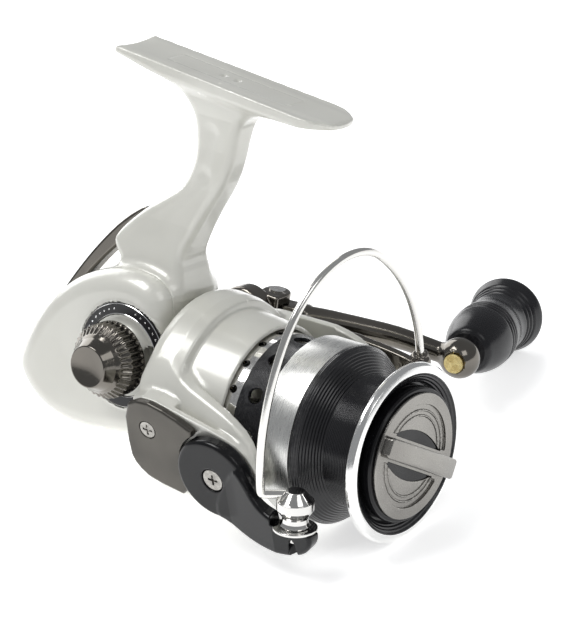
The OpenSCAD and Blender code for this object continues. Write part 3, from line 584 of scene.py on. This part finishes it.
def screw_posts(x, y, z):
    d = None
    for px, pz in SCREWS:
        post = disc(x - px, z - pz, y, 2, -8.6, 9.6)
        d = post if d is None else np.minimum(d, post)
    return d


def body_frame(x, y, z):
    d = cut(housing(x, y, z), y + 8.6, 0.25)
    d = join(d, disc(y, z, x, 18.3, -66, -57.4, 0.4), 1.5)
    d = join(d, disc(y, z, x, 10.6, -58, -56.8), 0)
    s = np.maximum(stem(x, y, z), -disc(x - GEAR[0], z - GEAR[2], y, 17, -20.6, -8.6))
    d = join(d, s, 2.5)
    d = join(d, foot(x, y, z), 1.6)
    d = join(d, disc(x - GEAR[0], z - GEAR[2], y, 9, 9, 17, 0.8), 1.2)
    hollow = meet(np.maximum(poly2(x, z, HOUSING) + 2.4, np.maximum(-101 - x, x + 63.4)),
                  np.abs(y - 0.25) - 9.35)
    d = np.maximum(d, -hollow)
    d = np.maximum(d, -disc(y, z, x, 16.7, -64.7, -59.4))
    d = np.maximum(d, -disc(x - OSC[0], z - OSC[1], y, 12.4, -9, -5))
    d = np.maximum(d, -disc(x - GEAR[0], z - GEAR[2], y, 11.75, 3.5, 7.3))
    d = np.maximum(d, -disc(y, z, x, 6.5, -62, -57.6))
    d = np.maximum(d, -disc(y, z, x, 4.7, -60, -54))
    keeper = np.maximum(block(x, y, z, (-80.5, -4.4, -12.2), (-78, 3.7, 4.8)),
                        -disc(y, z, x, 3.42, -82, -76))
    d = np.minimum(np.minimum(d, keeper), screw_posts(x, y, z))
    d = np.maximum(d, -disc(x - GEAR[0], z - GEAR[2], y, 3.65, -20, 30))
    d = np.maximum(d, -disc(x - GEAR[0], z - GEAR[2], y, 6.02, 13.8, 19))
    d = np.maximum(d, -disc(x - GEAR[0], z - GEAR[2], y, 13.3, -26, -8.6))
    for px, pz in SCREWS:
        d = np.maximum(d, -disc(x - px, z - pz, y, 1.05, -10, 20))
        d = np.maximum(d, -disc(x - px, z - pz, y, 1.85, 9.6, 20))
    seat = (move(-72.6, 10.4, 23) @ rot("X", -70))
    d = np.maximum(d, -disc(*turned(x, y, z, seat), 2.68, 0, 8))
    d = np.maximum(d, -disc(*turned(x, y, z, seat), 1.22, -5, 1))
    return np.maximum(d, -disc(y + 2.6, z - RAIL_Z, x, 0.85, -102.7, -77.5))


def side_cover(x, y, z):
    d = cut(housing(x, y, z), -8.64 - y, 0.25)
    d = join(d, disc(x - GEAR[0], z - GEAR[2], y, 12.95, -14.05, -8.64, 0.3), 0.8)
    r = np.sqrt((x - GEAR[0]) ** 2 + (z - GEAR[2]) ** 2)
    d = join(d, meet(r - 8 + (-13.6 - y) * 0.5, np.abs(y + 14.1) - 1.5, 0.3), 1.2)
    d = np.maximum(d, -disc(y, z, x, 18.55, -66.4, -60))
    hollow = meet(poly2(x, z, HOUSING) + 5.6, np.maximum(x + 66.6, -x - 104))
    d = np.maximum(d, -np.maximum(hollow, -11.6 - y))
    d = np.maximum(d, -np.maximum(np.abs(r - 11.3) - 1.45, y + 13.5))
    d = np.maximum(d, -(np.maximum(r - 3.85, y + 4)))
    for px, pz, ro, ri, top in [(GEAR[0], GEAR[2], 7.2, 5.5, -9.2), (*OSC, 3, 1.7, -9.2)] + [
            (*p, 2, 1.02, -8.64) for p in SCREWS]:
        q = np.sqrt((x - px) ** 2 + (z - pz) ** 2)
        d = np.minimum(d, np.maximum(np.abs(q - (ro + ri) / 2) - (ro - ri) / 2,
                                     np.maximum(-12 - y, y - top)))
    for px, pz in SCREWS:
        d = np.maximum(d, -disc(x - px, z - pz, y, 1.02, -11.4, -8))
    return np.maximum(d, -disc(x - GEAR[0], z - GEAR[2], y, 5.5, -13, -5))


def rear_guard(x, y, z):
    outer = [(-77.6, 41.8), (-84.8, 36.2), (-91.6, 28.4), (-97.4, 20.6), (-102.6, 12.4),
             (-106.2, 5), (-108, -1.4), (-107.6, -3.8), (-102.4, -10.6), (-96, -14)]
    inner = [(-94.8, -12.2), (-100.4, -9.2), (-105.2, -3.2), (-105.6, -1.6), (-103.4, 4.6),
             (-99.6, 11.8), (-94.8, 19), (-89.6, 25.4), (-83.6, 31.6), (-82.6, 34.8),
             (-77, 40.4)]
    d = meet(poly2(x, z, soften(outer + inner)), np.abs(y + 0.4) - 2.2, 0.7)
    d = np.maximum(d, -housing(x, y, z) + 0.03)
    return np.maximum(d, -stem(x, y, z) + 0.03)


def rotor_arm(x, y, z):
    side = soften([(-59.9, -7), (-56, -10), (-40, -10.4), (-34, -10.4), (-27, -8), (-23.6, -3),
                   (-23.6, 3), (-27, 8), (-34, 10.4), (-44, 12.6), (-54, 15), (-59.9, 13)], 1)
    plan = [(-59.9, -19.6), (-59.9, -23.4), (-58, -24.8), (-24, -24.8), (-22.6, -24),
            (-22.6, -22.9), (-38, -22.9), (-46, -22), (-50, -19.6)]
    d = meet(poly2(x, z, side), poly2(x, y, plan), 0.5)
    d = cut(d, block(x, y, z, (-47, -23.2, -20), (-35, -20.8, 20), 0.5), 0.3)
    band = soften([(-59.6, 4), (-59.6, 19.4), (-54, 20.6), (-50.6, 18.4), (-47, 16.4),
                   (-40, 14.6), (-33, 12.6), (-27, 9.6), (-24.2, 5.4), (-24.2, 0), (-40, 0)], 1)
    shell = np.abs(np.sqrt(y * y + z * z) - 23.55) - 1.15
    d = join(d, np.maximum(meet(poly2(x, z, band), shell, 0.7), y), 0.9)
    d = np.maximum(d, -24.8 - y)
    d = np.maximum(d, -disc(y, z, x, 19.6, -70, -10))
    d = np.maximum(d, -disc(x - PIVOT_X, z, y, 1.45, -30, -20))
    return np.maximum(d, -disc(x - COVER_SCREW[0], z - COVER_SCREW[1], y, SCREW_HOLE, -30, -20))


def rotor(x, y, z):
    r = np.sqrt(y * y + z * z)
    wall = fillet([(19.2, -53), (19.2, -59.9), (23.4, -59.9), (24.6, -58.8), (25, -57),
                   (24.7, -52.5), (24, -49.8), (22.2, -49.2), (21.6, -43), (21, -38.1),
                   (19.9, -38.1), (19.9, -51), (6, -51), (6, -50.4), (3.01, -50.4),
                   (3.01, -53)],
                  [0.3, 0.5, 1, 1.5, 2.5, 0.9, 0.7, 0.7, 6, 0.45, 0.45, 0.8, 0.4, 0.2, 0.2,
                   0.2], 3)
    d = poly2(r, x, wall)
    for a in range(30, 360, 60):
        c, s = math.cos(math.radians(a)), math.sin(math.radians(a))
        d = np.maximum(d, -disc(y + 13 * s, z - 13 * c, x, 2.4, -54.5, -49))
    d = join(d, rotor_arm(x, y, z), 1.2)
    d = join(d, rotor_arm(x, -y, -z), 1.2)
    for side in (-1, 1):
        d = np.maximum(d, -disc(x - COVER_SCREW[0], side * z - COVER_SCREW[1], side * y,
                           SCREW_HOLE, -30, -20))
    return np.maximum(d, 19.58 - r - 100 * np.maximum(0, -x - 52.9))


COVER = soften([(-59.6, 12.4), (-60.2, -1), (-58.6, -4.6), (-54.6, -7.4), (-42.6, -9.4),
                (-38, 9.6), (-46, 13.6), (-54, 15.4)], 1)


def arm_cover(x, y, z):
    d = meet(poly2(x, z, COVER), np.abs(y + 25.91) - 1.09, 0.75)
    d = np.maximum(d, -np.maximum(poly2(x, z, [(-58, 11), (-58.6, -0.6), (-54, -5.8),
                                               (-44.6, -7.4), (-44.6, 12), (-54, 13.6)]),
                                  -26.2 - y))
    d = cut(d, disc(x - PIVOT_X, z, y, 10.95, -30, -20), 0.25)
    post = disc(x - COVER_SCREW[0], z - COVER_SCREW[1], y, 2.1, -26.3, -24.82)
    d = np.minimum(d, post)
    d = cut(d, disc(x - COVER_SCREW[0], z - COVER_SCREW[1], y, 2.35, -30, -26.5), 0.12)
    return np.maximum(d, -disc(x - COVER_SCREW[0], z - COVER_SCREW[1], y, SCREW_HOLE, -30, -20))


def bail_lever(x, y, z):
    tail = soften([(-27, 6.6), (-23.6, 3), (-21.4, -1), (-18, -3.2), (-13, -3.8), (-6.2, -3.8),
                   (-4.8, -6), (-5.6, -9), (-8.4, -11.8), (-14, -13.4), (-22, -13.8),
                   (-29, -12.2), (-36, -9)])
    slab = [(-45, -27), (-26, -27.2), (-5, -27.4), (-4, -31.4), (-16, -31.4), (-30, -28.9),
            (-45, -28.9)]
    d = join(disc(x - PIVOT_X, z, y, 10.4, -28.9, -25, 1.1),
             meet(poly2(x, z, tail), poly2(x, y, slab), 1), 0.6)
    u, v, w = turned(x, y, z, np.linalg.inv(ARMS) @ ROLLER)
    d = cut(d, disc(u, v, w, 6.1, 1.2, 15), 0.2)
    d = np.maximum(d, -disc(u, v, w, 1.3, -9, 12))
    d = np.maximum(d, -disc(x - PIVOT_X, z, y, 1.47, -40, -20))
    return cut(d, disc(x - PIVOT_X, z, y, 3.05, -32, -27.8), 0.25)


def bail_holder(x, y, z):
    d = disc(x - PIVOT_X, z, y, 6, 25, 29.2, 0.8)
    plate = meet(poly2(x, z, soften([(-36, -5.6), (-24, -4.4), (-15.4, -1), (-14.4, 2), (-17, 4),
                                     (-28, 5.4), (-36, 5.6)])), np.abs(y - 28.2) - 1, 0.5)
    d = join(d, plate, 0.6)
    d = join(d, block(x, y, z, (-20.4, 27.4, -1.4), (-14.8, 32.8, 2.6), 1.2), 1)
    d = join(d, disc(x + 17.4, y - 31.5, z, 2, 0.2, 3.3, 0.4), 0.6)
    d = np.maximum(d, -disc(x - PIVOT_X, z, y, 1.47, 20, 40))
    d = cut(d, disc(x - PIVOT_X, z, y, 3.05, 27.8, 32), 0.25)
    return np.maximum(d, -disc(x + 17.4, y - 31.5, z, 1.08, 1.5, 5))


def handle_arm(x, y, z):
    d = meet(np.sqrt(x * x + y * y) - 3, np.abs(z) - 3.4, 0.5)
    d = join(d, block(x, y, z, (0, -2.4, -3.4), (8.4, 3, 3.4), 0.6), 0)
    arch = spline([(7, 0.3, 0), (12, 0.7, 0.5), (17, 0.9, 0.8), (24, 0.95, 1.0), (31, 0.9, 1.1),
                   (38, 0.45, 0.6), (ARM_REACH - 3, 0, 0)], 13)
    radii = np.interp(arch[:, 0], [7, 17, 31, ARM_REACH], [3.55, 3.0, 2.7, 2.45])
    rod = None
    for i in range(12):
        c = capsule(x, y, z, arch[i], arch[i + 1], radii[i], radii[i + 1])
        rod = c if rod is None else np.minimum(rod, c)
    d = join(d, rod, 1)
    d = join(d, np.sqrt((x - ARM_REACH) ** 2 + y * y + z * z) - 5, 1)
    d = np.maximum(d, -disc(x, y, z, 1.3, -6, 6))
    d = np.maximum(d, -disc(x - ARM_REACH, z, y, 1.62, -8, 8))
    return cut(d, disc(x - ARM_REACH, z, y, 2.55, -8, -3.8), 0.2)


def hinge_fork(x, y, z):
    d = disc(x, z, y, 4.6, 17.2, 31.2, 0.4)
    d = join(d, disc(x, z, y, 7, 31, 36.4, 1), 0.8)
    d = join(d, block(x, y, z, (0.8, 35, -6), (7.6, 39.6, 6), 0.8), 0.3)
    d = join(d, meet(np.sqrt((x - 4.2) ** 2 + (y - 39.5) ** 2) - 3.4, np.abs(z) - 6, 0.5), 0.3)
    d = np.maximum(d, -disc(x, z, y, 3.1, 16, 26.3))
    d = cut(d, block(x, y, z, (-8, 36.3, -3.6), (20, 50, 3.6), 0), 0.2)
    return np.maximum(d, -disc(x - 4.2, y - 39.5, z, 1.3, -10, 10))


def knob_face(x, y, z):
    c, s = math.cos(math.radians(-24)), math.sin(math.radians(-24))
    u, v = y * c + z * s, -y * s + z * c
    r = np.sqrt(y * y + z * z)
    d = disc(y, z, x, 15.1, 2.22, 3.02, 0.25)
    for side in (-1, 1):
        scoop = meet(r - 12.4, 3.5 - side * v, 0.6)
        d = cut(d, np.maximum(scoop, 2.48 - x), 0.12)
        lens = meet(3.1 - side * v, np.sqrt(u * u + (side * v + 14.5) ** 2) - 20.4, 0.3)
        d = cut(d, np.maximum(lens, 2.3 - x), 0.08)
        for ring in (9.6, 10.9):
            rib = meet(np.abs(r - ring) - 0.2, np.abs(x - 2.5) - 0.24, 0.06)
            d = join(d, np.maximum(np.maximum(rib, scoop), 0.3 - lens), 0.06)
    bar = block(x, u, v, (2.6, -14.6, -2.4), (7.2, 14.6, 2.4), 0.9)
    bar = cut(bar, np.maximum(x - 20, 61.9 - np.sqrt((x + 54.6) ** 2 + u * u)), 0.4)
    d = join(d, bar, 0.35)
    return np.maximum(d, -disc(y, z, x, 1.95, 1, 4.5))


NETS = [  # name, shape, low corner, high corner, grid step, frame, CAD node
    ("foot_and_housing", body_frame, (-106.5, -18.6, -18.6), (-22.6, 18.6, 80.5), 0.45, REEL,
     "body_frame"),
    ("cover_plate", side_cover, (-106.5, -16, -15), (-59, -7.6, 29), 0.4, REEL, "side_cover"),
    ("rear_strip", rear_guard, (-108.2, -2.8, -14.2), (-76.8, 2, 42), 0.3, REEL, "rear_guard"),
    ("rotor_cup", rotor, (-60, -25.2, -25.2), (-22.4, 25.2, 25.2), 0.4, ARMS, "rotor"),
    ("near_arm_cover", arm_cover, (-60.4, -27.1, -9.8), (-37.5, -24.7, 15.6), 0.25, ARMS,
     "arm_cover_near"),
    ("far_arm_cover", arm_cover, (-60.4, -27.1, -9.8), (-37.5, -24.7, 15.6), 0.25,
     ARMS @ rot("X", 180), "arm_cover_far"),
    ("lever", bail_lever, (-44.6, -31.6, -14), (-4.4, -24.8, 10.6), 0.3, ARMS, "bail_lever"),
    ("far_holder", bail_holder, (-40.2, 24.8, -6.2), (-14.2, 33.6, 6.2), 0.3, ARMS,
     "bail_holder"),
    ("arm", handle_arm, (-3.2, -5.2, -5.2), (ARM_REACH + 5.2, 5.2, 5.2), 0.3, HANDLE,
     "handle_arm"),
    ("fork", hinge_fork, (-7.2, 17, -7.2), (7.8, 43.1, 7.2), 0.3, CRANK, "hinge_fork"),
    ("knob_plate", knob_face, (2.1, -15.3, -15.3), (7.3, 15.3, 15.3), 0.2, REEL,
     "drag_knob_face")]


def build_nets():
    for name, shape, low, high, step, matrix, cad_node in NETS:
        piece(name, net(shape, low, high, step), matrix, cad_node)


def knurl(r, z, a):
    depth = np.clip((z - 17.3) * 3, 0, 1) * np.clip((23.6 - z) * 2, 0, 1)
    outer = np.clip((r - 7.0) * 3, 0, 1)
    return r - 0.5 * depth * outer * (0.5 + 0.5 * np.cos(36 * a)) ** 1.2


def build_turned():
    cap = fillet([(2.42, 16.2), (8.2, 16.2), (9, 17), (9, 21.4), (8.4, 22), (6.4, 24.6),
                  (5.4, 26.6), (5, 27.4), (0, 25.9), (0, 20.1), (2.42, 20.1)],
                 [0.1, 0.4, 0.3, 0.3, 0.3, 0.4, 0.3, 0.4, 0, 0, 0.1])
    rows = []
    for a, b in zip(cap, np.roll(cap, -1, axis=0)):
        steps = max(1, int(np.linalg.norm(b - a) / 0.25)) if a[0] > 8 else 1
        rows += [a + (b - a) * t for t in np.arange(steps) / steps]
    piece("cap", lathe(rows, 360, knurl), CAP, "handle_cap", sharp=50)
    end = 32
    curve = spline([(4.6, 0), (5.6, 0.8), (6.3, 2.4), (7.4, 6), (8.1, 10), (8.2, 14), (7.8, 18),
                    (7.3, 21), (7.4, 24), (8.2, 27.4), (9.3, end - 1.4), (9.2, end - 0.3)], 160)
    for groove in (11.6, 13.0, 14.4, 25, 26.4, 27.8):
        curve[:, 0] -= 0.5 * np.exp(-((curve[:, 1] - groove) / 0.28) ** 2)
    section = [(1.63, 0)] + [tuple(c) for c in curve] + [
        (8.4, end + 0.2), (7.0, end + 0.2), (7.0, end - 1.15), (3, end - 1.15), (3, 23.5),
        (1.63, 23.5)]
    piece("grip", lathe(section, 144), KNOB @ move(0, 0, 5.3), "handle_knob")
    piece("wire_cone", lathe(fillet([(1.28, 5.2), (3.6, 5.2), (4.4, 6.4), (4.4, 8.4),
                                     (4.1, 8.6), (2.2, 10.8), (0, 10.8), (0, 6.62),
                                     (1.28, 6.62)],
                                    [0.1, 0.2, 0.2, 0.25, 0.1, 0.3, 0, 0, 0.1]), 96), ROLLER,
          "wire_boss")
    piece("roller", lathe(fillet([(1.3, 2.1), (3.4, 2.1), (3.5, 2.5), (3.1, 3.2), (3, 4.2),
                                  (3.3, 4.9), (3.5, 5), (1.3, 5)], 0.12), 96), ROLLER,
          "line_roller")
    piece("roller_flange", lathe(fillet([(0, -2), (1.25, -2), (1.25, 1.22), (5.2, 1.22),
                                         (5.2, 1.92), (1.25, 1.92), (1.25, 6.6), (0, 6.6)],
                                        [0, 0.15, 0.1, 0.2, 0.2, 0.1, 0.15, 0]), 96), ROLLER,
          "roller_pin")
    badge = fillet([(9.95, 13.56), (12.65, 13.56), (12.65, 14.25), (12.35, 14.3), (10.25, 14.3),
                    (9.95, 14.25)], 0.06)
    piece("badge", lathe(badge, 200), CAP, "badge_ring")
    marks, faces = [], []
    for i in range(44):
        if i in (10, 11, 12, 32, 33, 34):
            continue
        a = math.radians(i * 360 / 44)
        dot, quads = lathe([(0, 14.38), (0.2, 14.34), (0.26, 14.28), (0, 14.28)], 12)
        faces += [[k + len(marks) for k in q] for q in quads]
        marks += list(dot + [11.3 * math.cos(a), 11.3 * math.sin(a), 0])
    for r in (10.08, 12.5):
        rim, quads = lathe([(r - 0.1, 14.29), (r + 0.1, 14.29), (r, 14.38)], 160)
        faces += [[k + len(marks) for k in q] for q in quads]
        marks += list(rim)
    extra("badge_marks", (np.array(marks), faces), CAP, "frame", M["polished"])
    lip = fillet([(20.22, -1.1), (21, -1.3), (21.5, -0.7), (21.5, 0), (21, 0.9), (19.9, 1.35),
                  (19.22, 1.14), (20.22, 0.02)], [0.1, 0.3, 0.3, 0.4, 0.4, 0.3, 0.1, 0.05])
    piece("lip", lathe(lip, 256), ALONG_X, "lip_ring")
    piece("band", lathe(fillet([(20.62, -26.4), (21.4, -26.4), (21.4, -17.45),
                                (20.62, -17.45)], [0.05, 0.15, 0.15, 0.05]), 256), ALONG_X,
          "skirt_band")
    knob = fillet([(1.6, 2.2), (15.9, 2.2), (16.2, 1.7), (16.2, 0.3), (16, -1.2), (11.8, -1.2),
                   (11.8, 0.8), (3.95, 0.8), (3.95, 1.95), (1.6, 1.95)],
                  [0.1, 0.3, 0.3, 0.2, 0.3, 0.2, 0.1, 0.05, 0.05, 0.1])
    piece("knob_rim", lathe(knob, 256), ALONG_X, "drag_knob_body")


def build_wire():
    lean = math.radians(5.5)

    def bow(y, h):
        return (-17.6 + h * math.sin(lean), y, h * math.cos(lean))

    def side(m, a):
        c, s = math.cos(math.radians(a)), math.sin(math.radians(a))
        brk = math.radians(50)
        return bow(m * (56 * c - 32 * math.sin(brk)),
                   48 - 24 - 32 * math.cos(brk) + 56 * s)

    def top(a):
        c, s = math.cos(math.radians(a)), math.sin(math.radians(a))
        return bow(-24 * c, 24 + 24 * s)

    route = [(-11.6, -27.4, 2.5), (-16.49, -30.82, 3.13), (-16.94, -31.16, 3.34),
             (-17.16, -31.4, 3.76)]
    route += [side(-1, a) for a in np.arange(2, 40.1, 3.8)]
    route += [top(a) for a in range(44, 137, 4)]
    route += [side(1, a) for a in np.arange(40, -0.1, -3.8)]
    route.append((-17.44, 31.5, 1.7))
    piece("bow_wire", sweep(spline(route, 360), 1.0, 24), ARMS, "bail_wire")


# ---------------------------------------------------------------- stage
# Fitted to the photograph: degrees and millimetres, with the focal length in the photo's pixels
CAMERA = dict(azimuth=35.86, elevation=18.05, roll=4.16, distance=1150.3, right=-25.71, up=31.29)
SENSOR = 36
FOCAL_PIXELS = 5000
LONG_SIDE_PIXELS = 634


def camera_axes():
    a, e, q = (math.radians(CAMERA[k]) for k in ("azimuth", "elevation", "roll"))
    flat = np.array([math.cos(a), math.sin(a), 0])
    back = np.array([math.sin(a) * math.cos(e), -math.cos(a) * math.cos(e), math.sin(e)])
    top = np.cross(back, flat)
    right = math.cos(q) * flat + math.sin(q) * top
    up = -math.sin(q) * flat + math.cos(q) * top
    return right, up, back


def add_camera():
    right, up, back = camera_axes()
    spot = place([CAMERA["distance"] * back + CAMERA["right"] * right + CAMERA["up"] * up])[0]
    data = bpy.data.cameras.new("camera")
    data.sensor_width = SENSOR
    data.lens = SENSOR * FOCAL_PIXELS / LONG_SIDE_PIXELS
    data.clip_start = 0.05
    data.clip_end = 50
    cam = bpy.data.objects.new("camera", data)
    m = Matrix.Identity(4)
    for i, axis in enumerate((right, up, back)):
        for k in range(3):
            m[k][i] = axis[k]
    m.translation = Vector(spot)
    cam.matrix_world = m
    bpy.context.collection.objects.link(cam)
    bpy.context.scene.camera = cam


# Table plane through the reel's three resting points, just below them
FLOOR_NORMAL = np.array([-0.0613, -0.2266, 0.9721])
FLOOR_POINT = np.array([0.0, 5.0, -20.9]) - 0.1 * FLOOR_NORMAL


def add_floor():
    n = FLOOR_NORMAL / np.linalg.norm(FLOOR_NORMAL)
    side = np.cross([0, 1, 0], n)
    side /= np.linalg.norm(side)
    other = np.cross(n, side)
    c = place([FLOOR_POINT])[0]
    half = 6.0  # metres
    verts = [c + half * (sx * side + sy * other) for sx, sy in
             ((-1, -1), (1, -1), (1, 1), (-1, 1))]
    mesh = bpy.data.meshes.new("floor")
    mesh.from_pydata([tuple(v) for v in verts], [], [(0, 1, 2, 3)])
    floor = bpy.data.objects.new("floor", mesh)
    bpy.context.collection.objects.link(floor)
    m, b = shader("floor_paper", (0.93, 0.93, 0.93), roughness=0.75, spec=0.1)
    b.inputs["Emission Color"].default_value = (1, 1, 1, 1)
    b.inputs["Emission Strength"].default_value = 0.62
    v = coords(m, scale=1.0)
    link(m, tint(m, remap(m, noise(m, v, 30, 2), 0, 1), (0.93, 0.93, 0.93), (0.95, 0.95, 0.95)),
         b.inputs["Base Color"])
    mesh.materials.append(m)


LIGHT_AIM = (-30.0, 0.0, 0.0)


def add_light(name, spot, size, power):
    """Square soft box aimed at the reel; size in metres."""
    data = bpy.data.lights.new(name, "AREA")
    data.shape = "RECTANGLE"
    data.size = size
    data.size_y = size
    data.energy = power
    obj = bpy.data.objects.new(name, data)
    a, b = place([spot])[0], place([LIGHT_AIM])[0]
    obj.location = a
    obj.rotation_euler = Vector(b - a).to_track_quat("-Z", "Y").to_euler()
    bpy.context.collection.objects.link(obj)


def add_lights():
    right, up, back = camera_axes()
    n = FLOOR_NORMAL / np.linalg.norm(FLOOR_NORMAL)
    centre = np.array([-40.0, 0, 0])
    add_light("key", centre + 620 * n - 300 * right + 40 * back, 0.34, 2.6)
    add_light("fill", centre + 420 * n + 420 * right + 420 * back, 0.35, 0.7)
    add_light("rim", centre + 420 * n - 200 * right - 520 * back, 0.4, 1.3)
    world = bpy.data.worlds.new("studio")
    bpy.context.scene.world = world
    world.use_nodes = True
    world.node_tree.nodes["Background"].inputs["Color"].default_value = (0.95, 0.97, 1.0, 1)
    world.node_tree.nodes["Background"].inputs["Strength"].default_value = 0.30
    view = bpy.context.scene.view_settings
    view.view_transform = "Standard"
    view.look = "None"


# ---------------------------------------------------------------- run
make_materials()
turn_rings(M["anodised"])
dress_cad()
build_nets()
build_turned()
build_wire()
add_camera()
add_floor()
add_lights()
